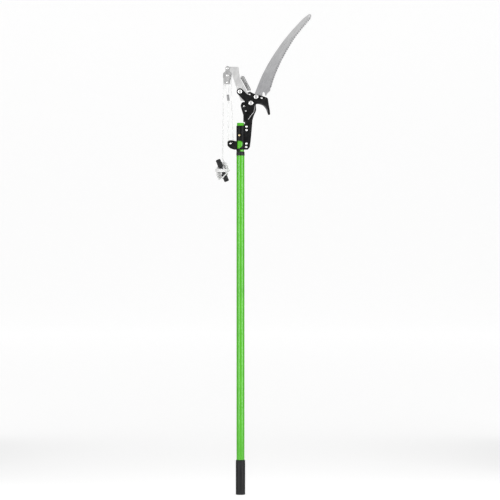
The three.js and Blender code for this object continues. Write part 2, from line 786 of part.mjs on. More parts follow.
function addPullRope() {
  const exit = BLOCK_AXLE.x - TOP_PULLEY.pitch;
  const fall = [
    [exit, 0, BLOCK_AXLE.z - GAP],
    [exit - 1, 1.2, 1400],
    [exit - 2.6, 5, 1300],
    [exit - 3.6, 10, 1200],
    [exit - 3.8, 12.4, 1168.8],
  ];
  add("rope_fall", swept(fall, ROPE, 8), WHITE_ROPE());
  const { half, end, waist } = HANDLE;
  const onHandle = (profile) =>
    toSolid(
      new THREE.LatheGeometry(profilePoints(profile), 20)
        .rotateX(Math.PI / 2)
        .rotateY(-THREE.MathUtils.degToRad(HANDLE.tilt))
        .translate(HANDLE.x, 0, HANDLE.z),
    );
  add(
    "pull_handle",
    onHandle([
      [0, -half],
      [end * 0.7, -half + 1],
      [end, -half + 4],
      [end, -WRAPS.half - 5],
      [waist, -WRAPS.half - 2],
      [waist, WRAPS.half + 2],
      [end, WRAPS.half + 5],
      [end, half - 4],
      [end * 0.7, half - 1],
      [0, half],
    ]),
    BLACK_PLASTIC(),
  );
  // the wound rope: a flat bundle of loops behind the handle, held by wraps round its waist
  const ring = new THREE.EllipseCurve(HANK.x, HANK.z, HANK.wide, HANK.tall).getPoints(24);
  const wraps = onHandle([
    [waist + GAP, -WRAPS.half],
    [WRAPS.outer, -WRAPS.half],
    [WRAPS.outer, WRAPS.half],
    [waist + GAP, WRAPS.half],
    [waist + GAP, -WRAPS.half],
  ]);
  const loops = plate(new THREE.Shape(ring.slice(0, -1)), HANK.front, HANK.back);
  add("rope_hank", loops.add(wraps), WHITE_ROPE());
}

addPole();
addTwistLock();
addHead();
addCutter();
addReturnSpring();
addBlock();
addTackle();
addPullRope();

export default group;
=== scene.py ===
# %% [markdown]
# # A telescoping pole saw, dressed for the studio
#
# The tool is a two-section aluminium pole with a pruning head on top. The head carries a curved
# saw and a hooked shear. A white cord runs over two pulleys and pulls the shear's long arm down.
#
# The shapes that carry load were modelled first as an imported model. This script loads
# that model as a fixed frame and makes a finer visible piece for almost every part of it. We load
# it first, because every later piece takes its place from it.

# %% Load the imported model
import math

import bmesh
import bpy
import numpy as np
from mathutils import Matrix, Vector
from mathutils.geometry import tessellate_polygon


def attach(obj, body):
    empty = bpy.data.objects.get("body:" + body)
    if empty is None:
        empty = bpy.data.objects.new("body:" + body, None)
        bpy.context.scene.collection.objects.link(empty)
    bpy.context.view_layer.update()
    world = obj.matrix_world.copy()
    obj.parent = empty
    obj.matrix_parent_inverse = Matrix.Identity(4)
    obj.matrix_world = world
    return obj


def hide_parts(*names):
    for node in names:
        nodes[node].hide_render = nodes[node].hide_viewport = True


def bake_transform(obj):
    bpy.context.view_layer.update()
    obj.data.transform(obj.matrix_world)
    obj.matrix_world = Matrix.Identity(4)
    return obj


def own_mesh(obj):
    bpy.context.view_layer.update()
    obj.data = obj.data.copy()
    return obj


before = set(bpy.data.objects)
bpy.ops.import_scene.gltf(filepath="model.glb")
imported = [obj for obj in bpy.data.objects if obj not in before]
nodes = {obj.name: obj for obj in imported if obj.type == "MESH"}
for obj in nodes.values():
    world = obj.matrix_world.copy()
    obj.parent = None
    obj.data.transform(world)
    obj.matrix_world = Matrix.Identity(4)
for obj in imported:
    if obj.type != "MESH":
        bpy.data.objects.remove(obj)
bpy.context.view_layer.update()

# %% [markdown]
# Blender works in metres and the drawings of this tool are in millimetres. One helper turns
# a millimetre point into a metre vector, so each shape below can be read off its drawing.

# %% Millimetres
MM = 0.001


def mm(x, y, z):
    return Vector((x, y, z)) * MM


print("the head's pivot is at", mm(36.6, 0, 1370))

# %% [markdown]
# ## Camera
#
# A tall, thin tool looks best through a long lens from far away, because the pole then stays
# straight and parallel. The camera stands level with the middle of the tool.

# %% Camera
camera = bpy.data.objects.new("studio_camera", bpy.data.cameras.new("studio_camera"))
camera.data.lens = 179
camera.data.sensor_width = 36
camera.location = (0.0333, -8.7, 0.8558)
camera.rotation_euler = (math.pi / 2, 0, 0)
bpy.context.scene.collection.objects.link(camera)
bpy.context.scene.camera = camera
print("camera", camera.data.lens, "mm at", tuple(camera.location))

# %% [markdown]
# ## Mesh helpers
#
# Three ways of making things cover almost every piece of this tool. Cord is a round section that
# follows a line. Pins, tubes and pulleys are turned on a lathe. Plates are cut from sheet, with
# a small chamfer all round. Each helper returns a finished object with smooth shading, and keeps
# an edge sharp only where two faces meet at a clear angle.

# %% Finish a mesh
def placed(name, data):
    """A new object of that name, in the scene."""
    made = bpy.data.objects.new(name, data)
    bpy.context.scene.collection.objects.link(made)
    return made


def smoothed(mesh, sharp=32):
    """Smooth shading, with an edge left sharp where its faces meet at more than that angle."""
    mesh.shade_smooth()
    mesh.set_sharp_from_angle(angle=math.radians(sharp))


def finished(name, vertices, faces, sharp=32):
    mesh = bpy.data.meshes.new(name)
    mesh.from_pydata([tuple(v) for v in vertices], [], faces)
    shape = bmesh.new()
    shape.from_mesh(mesh)
    bmesh.ops.remove_doubles(shape, verts=shape.verts, dist=2e-7)
    bmesh.ops.dissolve_degenerate(shape, edges=shape.edges, dist=1e-7)
    bmesh.ops.recalc_face_normals(shape, faces=shape.faces)
    shape.to_mesh(mesh)
    shape.free()
    smoothed(mesh, sharp)
    return placed(name, mesh)


def grid_faces(rings, around):
    """The faces between closed rings of points."""
    faces = []
    for i in range(rings - 1):
        for j in range(around):
            k = (j + 1) % around
            faces.append((i * around + j, i * around + k, (i + 1) * around + k,
                          (i + 1) * around + j))
    return faces


print("finishing helper ready")

# %% [markdown]
# A lathe profile is a list of radius and height pairs in millimetres. It is spun about an upright
# axis for the pole's parts and about a front-to-back axis for the pins of the head.

# %% Lathe
def turned(name, profile, centre=(0, 0), upright=False, facets=48):
    vertices = []
    for radius, along in profile:
        for k in range(facets):
            angle = 2 * math.pi * k / facets
            a, b = radius * math.cos(angle), radius * math.sin(angle)
            vertices.append(mm(a, b, along) if upright
                            else mm(centre[0] + a, along, centre[1] + b))
    faces = grid_faces(len(profile), facets)
    if profile[0][0] > 0 and profile[0] == profile[-1]:
        return finished(name, vertices, faces)
    for ring in (0, len(profile) - 1):
        if profile[ring][0] > 0:
            faces.append(tuple(range(ring * facets, (ring + 1) * facets)))
    return finished(name, vertices, faces)


def join(name, pieces):
    """Several closed meshes as one object."""
    shape = bmesh.new()
    for piece in pieces:
        shape.from_mesh(piece.data)
        bpy.data.objects.remove(piece)
    mesh = bpy.data.meshes.new(name)
    shape.to_mesh(mesh)
    shape.free()
    return placed(name, mesh)


print("lathe ready")

# %% [markdown]
# A round section follows a line of points. The frame that carries the section is turned as little
# as possible from point to point, so the cord doesn't twist. Each ring also stores how far along
# the cord it lies and how far round, which the braid of the cord is drawn with later.

# %% Cord and wire
def through(points, step=2.0):
    """A smooth line through the points, as a Catmull-Rom curve, resampled about every step."""
    p = np.array(points, float)
    p = p[np.insert(np.linalg.norm(np.diff(p, axis=0), axis=1) > 0.3, 0, True)]
    p = np.vstack([2 * p[0] - p[1], p, 2 * p[-1] - p[-2]])
    line = []
    for a, b, c, d in zip(p[:-3], p[1:-2], p[2:-1], p[3:]):
        count = max(2, int(np.linalg.norm(c - b) / step) + 1)
        for t in np.linspace(0, 1, count, endpoint=False):
            line.append(0.5 * (2 * b + (c - a) * t + (2 * a - 5 * b + 4 * c - d) * t**2
                               + (3 * b - a - 3 * c + d) * t**3))
    line.append(p[-2])
    return np.array(line)


def tube(name, line, radius, around=12):
    """A closed tube of that radius, in millimetres, along a line, with its length in its UV map."""
    line = np.array(line, float)
    tangents = np.gradient(line, axis=0)
    tangents /= np.linalg.norm(tangents, axis=1)[:, None]
    side = np.cross(tangents[0], (0.3, 1.0, 0.2))
    vertices = []
    for point, tangent in zip(line, tangents):
        side = side - tangent * (side @ tangent)
        side /= np.linalg.norm(side)
        up = np.cross(tangent, side)
        for k in range(around):
            angle = 2 * math.pi * k / around
            vertices.append((point + radius * (math.cos(angle) * side + math.sin(angle) * up)) * MM)
    rings = len(line)
    mesh = bpy.data.meshes.new(name)
    caps = [tuple(reversed(range(around))), tuple(range((rings - 1) * around, rings * around))]
    mesh.from_pydata([tuple(v) for v in vertices], [], grid_faces(rings, around) + caps)
    run = np.concatenate([[0], np.cumsum(np.linalg.norm(np.diff(line, axis=0), axis=1))])
    layer = mesh.uv_layers.new(name="along")
    for face in mesh.polygons:
        for loop in face.loop_indices:
            ring, k = divmod(mesh.loops[loop].vertex_index, around)
            turn = k / around
            if turn == 0 and face.index % around == around - 1 and len(face.vertices) == 4:
                turn = 1.0
            layer.data[loop].uv = (run[ring] / 10, turn)
    smoothed(mesh, 50)
    return placed(name, mesh)


print("cord helper ready")

# %% [markdown]
# ## The pull cord
#
# The free end of the cord leaves the upper pulley, hangs down and is wound up on its pull handle,
# as the maker ships it: loops behind the handle, three wraps round its middle and one strand
# over its lower half. The cord is made before anything else, because its length is a fact of the
# tool and the room that it takes is what everything round it has to leave.
#
# One line carries all of it. The loops spiral inwards, step one cord's thickness back, and spiral
# outwards again, so the turns lie beside each other and never through each other.

# %% Route of the pull cord
CORD = 1.7  # the radius of the cord, which is 3.4 mm thick everywhere
HANK = (-63.5, 1135.0)
fall = through([(-58.8, 0, 1465.9), (-59.8, 1.2, 1400), (-61.4, 5, 1300), (-62.4, 9.2, 1205),
                (-62.3, 10.9, 1176), (-58.2, 11, 1166.2)], 6)


def loop_point(turns, inset, depth, shape):
    angle = math.radians(66) - 2 * math.pi * turns
    wave = 0.45 * math.sin(5 * angle) * math.sin(1.3 * turns)
    across, up = shape[0] - inset + wave, shape[1] - inset + wave
    x, z = across * math.cos(angle), up * math.sin(angle)
    c, q = math.cos(shape[2]), math.sin(shape[2])
    return (HANK[0] + c * x + q * z, depth, HANK[1] - q * x + c * z)


PER_LAYER, PITCH, STEP_OVER = 2.4, 3.55, 0.35
FIRST_DEPTH, LAYER_DEPTH = 11.0, 3.45
LAYERS = [np.array(v) for v in ((21.2, 31.0, 0.06), (15.5, 30.5, -0.24), (19.8, 29.0, 0.34))]
loops, turns = [], 0.0
for layer in range(len(LAYERS)):
    depth = round(FIRST_DEPTH + LAYER_DEPTH * layer, 2)
    for t in np.linspace(0, 1, 86, endpoint=False):
        share = t if layer % 2 == 0 else 1 - t
        loops.append(loop_point(turns + t * PER_LAYER, share * PER_LAYER * PITCH, depth,
                                LAYERS[layer]))
    turns += PER_LAYER
    if layer < len(LAYERS) - 1:
        edge = PER_LAYER * PITCH if layer % 2 == 0 else 0
        for t in np.linspace(0, 1, 14, endpoint=False):
            rise = t * t * (3 - 2 * t)
            shape = LAYERS[layer] * (1 - rise) + LAYERS[layer + 1] * rise
            loops.append(loop_point(turns + t * STEP_OVER, edge, depth + LAYER_DEPTH * rise, shape))
        turns += STEP_OVER
print("loops:", round(turns, 2), "turns")

# %% [markdown]
# The wraps are an oval that runs behind the bundle and comes forward to cross the handle's thin
# waist. After the last one the cord goes down across the front of the handle and is tucked back
# under the loops, where a small knot stops it from fraying.

# %% Wraps and tail
WRAP_HALF_WIDTH, WRAP_HALF_DEPTH, WRAP_MIDDLE = 24.0, 14.9, 6.9


def wrap_point(angle, height):
    return (HANK[0] + WRAP_HALF_WIDTH * math.sin(angle),
            WRAP_MIDDLE - WRAP_HALF_DEPTH * math.cos(angle), height)


last = np.array(loops[-1])
wraps = [wrap_point(math.radians(200 + 15 * k), 1139.4 - 3.7 * k / 24) for k in range(60)]
tail = [(-46.2, -3.5, 1127.5), (-53, -10.8, 1119), (-61, -11.2, 1110.5), (-68.5, -6, 1103.5),
        (-73, 2, 1101.5), (-76, 8.5, 1105)]
lead = [(last[0] - 6, 19.6, last[2] - 3.5)]
wound = through([*loops[::3], loops[-1], *lead, *wraps[1:], *tail], 1.6)
route = np.vstack([fall[:-1], wound])
run = np.linalg.norm(np.diff(route, axis=0), axis=1).sum() * MM
print(f"the free cord is {run:.3f} m long")
pull_cord = tube("pull_cord", route, CORD)
knot_at = route[-1]

# %% [markdown]
# ## Finishes
#
# Several effects come back in more than one finish, so each is a node group with named sockets:
# worn edges, handling marks, fine bumps, brushed grain and the braid of the cord. A group puts out
# masks and heights only. Each material then sets its own amounts and keeps its own shader.

# %% Group helper
def new_group(name, inputs, outputs):
    group = bpy.data.node_groups.new(name, "ShaderNodeTree")
    for label, kind, value in inputs:
        made = group.interface.new_socket(label, in_out="INPUT", socket_type=kind)
        made.default_value = value
    for label, kind in outputs:
        group.interface.new_socket(label, in_out="OUTPUT", socket_type=kind)
    start = group.nodes.new("NodeGroupInput")
    end = group.nodes.new("NodeGroupOutput")
    return group, start, end


def add_node(tree, kind, inputs=None, **settings):
    node = tree.nodes.new(kind)
    for key, value in settings.items():
        setattr(node, key, value)
    for key, value in (inputs or {}).items():
        if isinstance(value, bpy.types.NodeSocket):
            tree.links.new(value, node.inputs[key])
        else:
            node.inputs[key].default_value = value
    return node


def maths(tree, operation, *values):
    node = tree.nodes.new("ShaderNodeMath")
    node.operation = operation
    for i, value in enumerate(values):
        if isinstance(value, bpy.types.NodeSocket):
            tree.links.new(value, node.inputs[i])
        else:
            node.inputs[i].default_value = value
    return node.outputs[0]


def remap(tree, value, low, high, to_low=0.0, to_high=1.0):
    node = tree.nodes.new("ShaderNodeMapRange")
    tree.links.new(value, node.inputs[0])
    for i, number in zip((1, 2, 3, 4), (low, high, to_low, to_high)):
        node.inputs[i].default_value = number
    return node.outputs[0]


print("group helper ready")

# %% [markdown]
# Coated edges wear first, because everything rubs on them. The mask comes from how sharply the
# surface bends outwards at a point, broken up by a patchy noise so that it doesn't run evenly
# along a whole edge.

# %% Worn edges
wear_group, start, end = new_group(
    "Worn edges",
    [("Amount", "NodeSocketFloat", 0.5), ("Patch scale", "NodeSocketFloat", 60.0)],
    [("Mask", "NodeSocketFloat")],
)
place = add_node(wear_group, "ShaderNodeTexCoord")
bend = add_node(wear_group, "ShaderNodeNewGeometry")
patches = add_node(wear_group, "ShaderNodeTexNoise", {
    "Vector": place.outputs["Object"], "Scale": start.outputs["Patch scale"], "Detail": 4.0})
edge = remap(wear_group, bend.outputs["Pointiness"], 0.515, 0.56)
patchy = remap(wear_group, patches.outputs[0], 0.42, 0.68)
worn = maths(wear_group, "MULTIPLY", edge, patchy)
worn = maths(wear_group, "MULTIPLY", worn, start.outputs["Amount"])
wear_group.links.new(worn, end.inputs["Mask"])
print("group:", wear_group.name)

# %% [markdown]
# Hands leave broad, faint patches where the gloss differs, and fine short scratches. Both only
# change roughness and colour a little.

# %% Handling marks
marks_group, start, end = new_group(
    "Handling marks",
    [("Patch scale", "NodeSocketFloat", 14.0), ("Scratch scale", "NodeSocketFloat", 220.0)],
    [("Patches", "NodeSocketFloat"), ("Scratches", "NodeSocketFloat")],
)
place = add_node(marks_group, "ShaderNodeTexCoord")
broad = add_node(marks_group, "ShaderNodeTexNoise", {
    "Vector": place.outputs["Object"], "Scale": start.outputs["Patch scale"],
    "Detail": 5.0, "Roughness": 0.6})
stretched = add_node(marks_group, "ShaderNodeMapping", {
    "Vector": place.outputs["Object"], "Rotation": (0.3, 0.5, 0.2), "Scale": (1.0, 1.0, 0.06)})
fine = add_node(marks_group, "ShaderNodeTexNoise", {
    "Vector": stretched.outputs[0], "Scale": start.outputs["Scratch scale"], "Detail": 3.0})
marks_group.links.new(remap(marks_group, broad.outputs[0], 0.35, 0.65), end.inputs["Patches"])
marks_group.links.new(remap(marks_group, fine.outputs[0], 0.60, 0.72), end.inputs["Scratches"])
print("group:", marks_group.name)

# %% [markdown]
# Powder coat has a soft orange peel and moulded plastic a fine spark-eroded grain. Both are a
# noise at some scale, given out as a height for a Bump node.

# %% Fine bumps
bumps_group, start, end = new_group(
    "Fine bumps",
    [("Scale", "NodeSocketFloat", 900.0), ("Softness", "NodeSocketFloat", 0.5)],
    [("Height", "NodeSocketFloat")],
)
place = add_node(bumps_group, "ShaderNodeTexCoord")
peel = add_node(bumps_group, "ShaderNodeTexNoise", {
    "Vector": place.outputs["Object"], "Scale": start.outputs["Scale"],
    "Detail": 2.0, "Roughness": start.outputs["Softness"]})
bumps_group.links.new(peel.outputs[0], end.inputs["Height"])
print("group:", bumps_group.name)

# %% [markdown]
# Ground and rolled metal shows fine lines along the way it was worked. The noise is squeezed
# across the lines and stretched along them, so the mapping's scale sets their direction.

# %% Brushed grain
grain_group, start, end = new_group(
    "Brushed grain",
    [("Stretch", "NodeSocketVector", (1.0, 1.0, 1.0)),
     ("Turn", "NodeSocketVector", (0.0, 0.0, 0.0)),
     ("Scale", "NodeSocketFloat", 500.0)],
    [("Lines", "NodeSocketFloat")],
)
place = add_node(grain_group, "ShaderNodeTexCoord")
turned_way = add_node(grain_group, "ShaderNodeMapping", {
    "Vector": place.outputs["Object"], "Rotation": start.outputs["Turn"]})
way = add_node(grain_group, "ShaderNodeMapping", {
    "Vector": turned_way.outputs[0], "Scale": start.outputs["Stretch"]})
lines = add_node(grain_group, "ShaderNodeTexNoise", {
    "Vector": way.outputs[0], "Scale": start.outputs["Scale"], "Detail": 4.0, "Roughness": 0.65})
grain_group.links.new(remap(grain_group, lines.outputs[0], 0.3, 0.7), end.inputs["Lines"])
print("group:", grain_group.name)

# %% [markdown]
# The cord is a round braid: strands that run round it both ways and pass over and under each
# other. Two slanting sets of ridges are drawn from the length and the turn stored on the cord, and
# a chequer of the two decides which set lies on top.

# %% Braid
braid_group, start, end = new_group(
    "Round braid",
    [("Strands", "NodeSocketFloat", 4.0), ("Picks", "NodeSocketFloat", 3.2)],
    [("Height", "NodeSocketFloat"), ("Gaps", "NodeSocketFloat")],
)
along_map = add_node(braid_group, "ShaderNodeUVMap", uv_map="along")
split = add_node(braid_group, "ShaderNodeSeparateXYZ", {0: along_map.outputs[0]})
lengthwise = maths(braid_group, "MULTIPLY", split.outputs[0], start.outputs["Picks"])
roundwise = maths(braid_group, "MULTIPLY", split.outputs[1], start.outputs["Strands"])
ridges = []
for sign in ("ADD", "SUBTRACT"):
    phase = maths(braid_group, sign, lengthwise, roundwise)
    wave = maths(braid_group, "SINE", maths(braid_group, "MULTIPLY", phase, 2 * math.pi))
    ridges.append(maths(braid_group, "ABSOLUTE", wave))
over = maths(braid_group, "MAXIMUM", *ridges)
under = maths(braid_group, "MULTIPLY", ridges[0], ridges[1])
height = maths(braid_group, "ADD", maths(braid_group, "MULTIPLY", over, 0.7), under)
braid_group.links.new(height, end.inputs["Height"])
braid_group.links.new(remap(braid_group, height, 0.75, 0.35), end.inputs["Gaps"])
print("group:", braid_group.name)

# %% [markdown]
# A material starts from one Principled shader. What is the same all over, such as how metallic it
# is, is set on the shader itself. What varies over the surface is wired in from the groups.

# %% Material helper
def new_finish(name, metallic=0.0, **settings):
    made = bpy.data.materials.new(name)
    made.use_nodes = True
    tree = made.node_tree
    shader = tree.nodes["Principled BSDF"]
    shader.inputs["Metallic"].default_value = metallic
    for key, value in settings.items():
        shader.inputs[key.replace("_", " ")].default_value = value
    return made, tree, shader


def use_group(tree, group, **values):
    node = tree.nodes.new("ShaderNodeGroup")
    node.node_tree = group
    for key, value in values.items():
        node.inputs[key.replace("_", " ")].default_value = value
    return node


def mix_colour(tree, share, a, b):
    node = tree.nodes.new("ShaderNodeMix")
    node.data_type = "RGBA"
    for index, value in ((0, share), (6, a), (7, b)):
        if isinstance(value, bpy.types.NodeSocket):
            tree.links.new(value, node.inputs[index])
        else:
            node.inputs[index].default_value = value if index == 0 else (*value, 1.0)
    return node.outputs[2]


def raise_bumps(tree, shader, height, distance, strength=1.0):
    bump = tree.nodes.new("ShaderNodeBump")
    bump.inputs["Strength"].default_value = strength
    bump.inputs["Distance"].default_value = distance
    tree.links.new(height, bump.inputs["Height"])
    tree.links.new(bump.outputs[0], shader.inputs["Normal"])


def wire(tree, shader, **sockets):
    for key, value in sockets.items():
        tree.links.new(value, shader.inputs[key.replace("_", " ")])


print("material helper ready")

# %% [markdown]
# The tubes are powder coated a bright lime green over aluminium. The coat is glossy with a slight
# orange peel, a little uneven in depth, and shows pale scuffs where the sections slide.

# %% Green powder coat
green_coat, tree, shader = new_finish("green_powder_coat", Coat_Weight=0.9, Coat_Roughness=0.13,
                                      Specular_IOR_Level=0.1)
marks = use_group(tree, marks_group, Patch_scale=9.0, Scratch_scale=160.0)
peel = use_group(tree, bumps_group, Scale=420.0, Softness=0.4)
depth = mix_colour(tree, marks.outputs["Patches"], (0.046, 0.310, 0.003), (0.060, 0.355, 0.005))
scuffed = mix_colour(tree, maths(tree, "MULTIPLY", marks.outputs["Scratches"], 0.28), depth,
                     (0.13, 0.44, 0.06))
gloss = remap(tree, marks.outputs["Patches"], 0.0, 1.0, 0.24, 0.34)
wire(tree, shader, Base_Color=scuffed, Roughness=gloss)
raise_bumps(tree, shader, peel.outputs[0], 0.00003, 0.5)
print(green_coat.name)

# %% [markdown]
# The head's plates are pressed steel with a satin black coat. Where the plates are cut, the coat
# is thin at the edges and bare steel shows through in patches.

# %% Black coated steel
def black_coated(name, colour, shine, wear):
    made, tree, shader = new_finish(name, Specular_IOR_Level=0.10)
    marks = use_group(tree, marks_group, Patch_scale=26.0, Scratch_scale=300.0)
    worn = use_group(tree, wear_group, Amount=wear, Patch_scale=90.0)
    peel = use_group(tree, bumps_group, Scale=1300.0, Softness=0.55)
    lighter = tuple(1.6 * c for c in colour)
    coat = mix_colour(tree, marks.outputs["Patches"], colour, lighter)
    coat = mix_colour(tree, maths(tree, "MULTIPLY", marks.outputs["Scratches"], 0.1), coat,
                      (0.035, 0.035, 0.036))
    bare = mix_colour(tree, worn.outputs["Mask"], coat, (0.42, 0.42, 0.43))
    rough = remap(tree, marks.outputs["Patches"], 0.0, 1.0, shine, shine + 0.12)
    wire(tree, shader, Base_Color=bare, Roughness=rough, Metallic=worn.outputs["Mask"])
    raise_bumps(tree, shader, peel.outputs[0], 0.00004, 0.5)
    return made


black_plate = black_coated("black_coated_plate", (0.0032, 0.0032, 0.0035), 0.34, 0.02)
black_bracket = black_coated("black_coated_bracket", (0.0032, 0.0032, 0.0035), 0.28, 0.02)
print(black_plate.name, black_bracket.name)

# %% [markdown]
# The grip, the collar and the pull handle are moulded plastic. The mould gives the surface a fine
# grain, and handling polishes parts of it.

# %% Moulded plastic
def moulded(name, colour, rough, grain_scale, grain_height):
    made, tree, shader = new_finish(name, Specular_IOR_Level=0.16)
    marks = use_group(tree, marks_group, Patch_scale=18.0, Scratch_scale=120.0)
    grain = use_group(tree, bumps_group, Scale=grain_scale, Softness=0.65)
    lighter = tuple(1.8 * c for c in colour)
    base = mix_colour(tree, marks.outputs["Patches"], colour, lighter)
    dusty = mix_colour(tree, maths(tree, "MULTIPLY", marks.outputs["Scratches"], 0.2), base,
                       (0.09, 0.09, 0.09))
    polish = remap(tree, marks.outputs["Patches"], 0.0, 1.0, rough - 0.08, rough + 0.08)
    wire(tree, shader, Base_Color=dusty, Roughness=polish)
    raise_bumps(tree, shader, grain.outputs[0], grain_height, 0.8)
    return made


grip_plastic = moulded("grip_plastic", (0.009, 0.009, 0.0095), 0.50, 1500.0, 0.00012)
handle_plastic = moulded("handle_plastic", (0.008, 0.008, 0.0085), 0.42, 2200.0, 0.00006)
nylon = moulded("pulley_nylon", (0.016, 0.016, 0.017), 0.38, 2600.0, 0.00003)
print(grip_plastic.name, handle_plastic.name, nylon.name)

# %% [markdown]
# The lever arm, the pulley cheeks and all pins are zinc plated: a bright, slightly milky metal
# with fine rolling lines and soft darker patches.

# %% Plated and ground steel
def plated(name, dark, light, rough, stretch, turn=(0.0, 0.0, 0.0), scale=420.0, lines=0.10):
    made, tree, shader = new_finish(name, metallic=1.0)
    grain = use_group(tree, grain_group, Stretch=stretch, Turn=turn, Scale=scale)
    marks = use_group(tree, marks_group, Patch_scale=32.0, Scratch_scale=260.0)
    share = maths(tree, "ADD", maths(tree, "MULTIPLY", grain.outputs["Lines"], 0.45),
                  maths(tree, "MULTIPLY", marks.outputs["Patches"], 0.55))
    base = mix_colour(tree, share, dark, light)
    base = mix_colour(tree, maths(tree, "MULTIPLY", marks.outputs["Scratches"], 0.35), base, dark)
    polish = remap(tree, grain.outputs["Lines"], 0.0, 1.0, rough - lines, rough + lines)
    wire(tree, shader, Base_Color=base, Roughness=polish)
    raise_bumps(tree, shader, grain.outputs["Lines"], 0.000012, 0.6)
    return made, tree, shader


zinc_sheet = plated("zinc_plated_sheet", (0.60, 0.60, 0.60), (0.74, 0.74, 0.736), 0.38,
                    (1.0, 1.0, 0.08), (0.0, -0.52, 0.0))[0]
zinc_pin = plated("zinc_plated_pin", (0.62, 0.62, 0.62), (0.86, 0.86, 0.85), 0.26,
                  (1.0, 0.1, 1.0))[0]
ground_steel = plated("ground_edge_steel", (0.50, 0.50, 0.51), (0.80, 0.80, 0.80), 0.24,
                      (1.0, 1.0, 0.12), (0.0, 0.9, 0.0), 700.0)[0]
spring_wire = plated("spring_wire", (0.20, 0.20, 0.20), (0.42, 0.42, 0.42), 0.30,
                     (1.0, 1.0, 1.0))[0]
zinc_block = plated("zinc_plated_block", (0.44, 0.44, 0.44), (0.60, 0.60, 0.597), 0.36,
                    (1.0, 1.0, 0.1))[0]
crimp_metal = plated("crimped_alloy", (0.15, 0.15, 0.155), (0.26, 0.26, 0.26), 0.42,
                     (1.0, 1.0, 0.3))[0]
brass_metal = plated("brass_screw", (0.62, 0.47, 0.22), (0.86, 0.72, 0.42), 0.24,
                     (1.0, 1.0, 1.0))[0]
hardened_edge = plated("hardened_edge", (0.03, 0.03, 0.033), (0.09, 0.09, 0.093), 0.38,
                       (1.0, 1.0, 0.12), (0.0, 0.9, 0.0), 700.0)[0]
print("plated finishes ready")

# %% [markdown]
# The saw blade is ground and polished lengthwise. Its grain runs along the blade. Its colour is
# painted a shade lighter from its hardened base up to its thin tip: a painted highlight, standing
# in for the light that falls along the blade.

# %% Saw steel
saw_steel, tree, shader = plated("saw_blade_steel", (0.44, 0.44, 0.455), (0.58, 0.58, 0.59), 0.30,
                                 (1.0, 1.0, 0.05), (0.0, -0.62, 0.0), 520.0, 0.07)
grained = shader.inputs["Base Color"].links[0].from_socket
place = add_node(tree, "ShaderNodeTexCoord")
height = add_node(tree, "ShaderNodeSeparateXYZ", {0: place.outputs["Object"]})
# painted highlight: the steel's colour turns lighter from the base of the blade up to its tip
painted_highlight_to_tip = remap(tree, height.outputs[2], 1.42, 1.66)
tree.links.new(mix_colour(tree, maths(tree, "MULTIPLY", painted_highlight_to_tip, 0.75), grained,
                          (0.80, 0.80, 0.80)), shader.inputs["Base Color"])
print(saw_steel.name)

# %% [markdown]
# The cord is bright white braided polyester. It is rough and has a soft sheen from its fibres.
# The gaps between the strands are a little darker, because they hold shadow and dust.

# %% White braided cord
white_cord, tree, shader = new_finish("white_braided_cord", Roughness=0.85, Sheen_Weight=0.25,
                                      Sheen_Roughness=0.4)
braid = use_group(tree, braid_group, Strands=4.0, Picks=3.2)
marks = use_group(tree, marks_group, Patch_scale=60.0, Scratch_scale=200.0)
fibres = mix_colour(tree, marks.outputs["Patches"], (0.61, 0.61, 0.607), (0.71, 0.71, 0.705))
shaded = mix_colour(tree, maths(tree, "MULTIPLY", braid.outputs["Gaps"], 0.55), fibres,
                    (0.46, 0.46, 0.455))
wire(tree, shader, Base_Color=shaded)
raise_bumps(tree, shader, braid.outputs["Height"], 0.00025, 0.8)
print(white_cord.name)

# %% [markdown]
# One helper dresses a finished piece: it gives it its material, says which body carries it,
# and which parts of the imported model it stands for.

# %% Dress a piece
def dress(piece, material, body, slot, *replaced):
    if not piece.data.materials:
        piece.data.materials.append(material)
    if body:
        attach(piece, body)
    if replaced:
        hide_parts(*replaced)
    return piece


print("dressing helper ready")

# %% [markdown]
# Now the pull cord gets its finish. Its upper end hangs from the pulley and its lower end is wound
# on the handle.

# %% Pull cord in place
dress(pull_cord, white_cord, None, "rope", "rope_fall", "rope_hank")
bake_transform(pull_cord)


def overhand(centre, size):
    points = []
    for k in range(49):
        t = 2 * math.pi * k / 48 * 0.93
        points.append((centre[0] + size * (math.sin(t) + 1.6 * math.sin(2 * t)) * 0.42,
                       centre[1] - size * math.sin(3 * t) * 0.36,
                       centre[2] + size * (math.cos(t) - 1.6 * math.cos(2 * t)) * 0.42))
    return points


knot = tube("end_knot", through(overhand(knot_at + np.array([0.6, 1.2, 3.4]), 4.6), 0.8), 1.45, 10)
dress(knot, white_cord, "handle", "rope")

# %% [markdown]
# ## Pole
#
# The grip is a blow-moulded sleeve, closed at the butt. Its rim is rounded all round, and a small
# bead at its mouth stiffens it. We turn it, because it is round everywhere.

# %% Hand grip
def arc(centre, radius, start, end, steps=6):
    """Points of a rounded corner on a lathe profile, with the angles in degrees."""
    angles = [math.radians(start + (end - start) * k / steps) for k in range(steps + 1)]
    return [(centre[0] + radius * math.cos(a), centre[1] + radius * math.sin(a)) for a in angles]


grip = turned("grip", [
    (0, 0.35), (9, 0.35), (9.6, 0), (13.6, 0), *arc((13.9, 2.6), 2.6, -90, 0),
    (16.5, 5), (16.5, 113.5), (16.15, 114.2), (16.15, 115.2), *arc((15.3, 118.6), 1.2, -10, 90),
    (14.9, 122), (14.3, 122), (14.3, 3), (0, 3)], upright=True, facets=96)
dress(grip, grip_plastic, "outer_pole", "black_plastic", "hand_grip")
print("grip", len(grip.data.polygons), "faces")

# %% [markdown]
# The outer section is a drawn aluminium tube with a shallow rolled groove near its top, which
# stops the inner section from being pulled out. The groove has soft flanks, because a roller
# pressed it in.

# %% Outer and inner tube
def groove(at, radius, depth, half=2.2, steps=10):
    return [(radius - depth * 0.5 * (1 + math.cos(math.pi * t)), at + half * t)
            for t in np.linspace(-1, 1, steps + 1)]


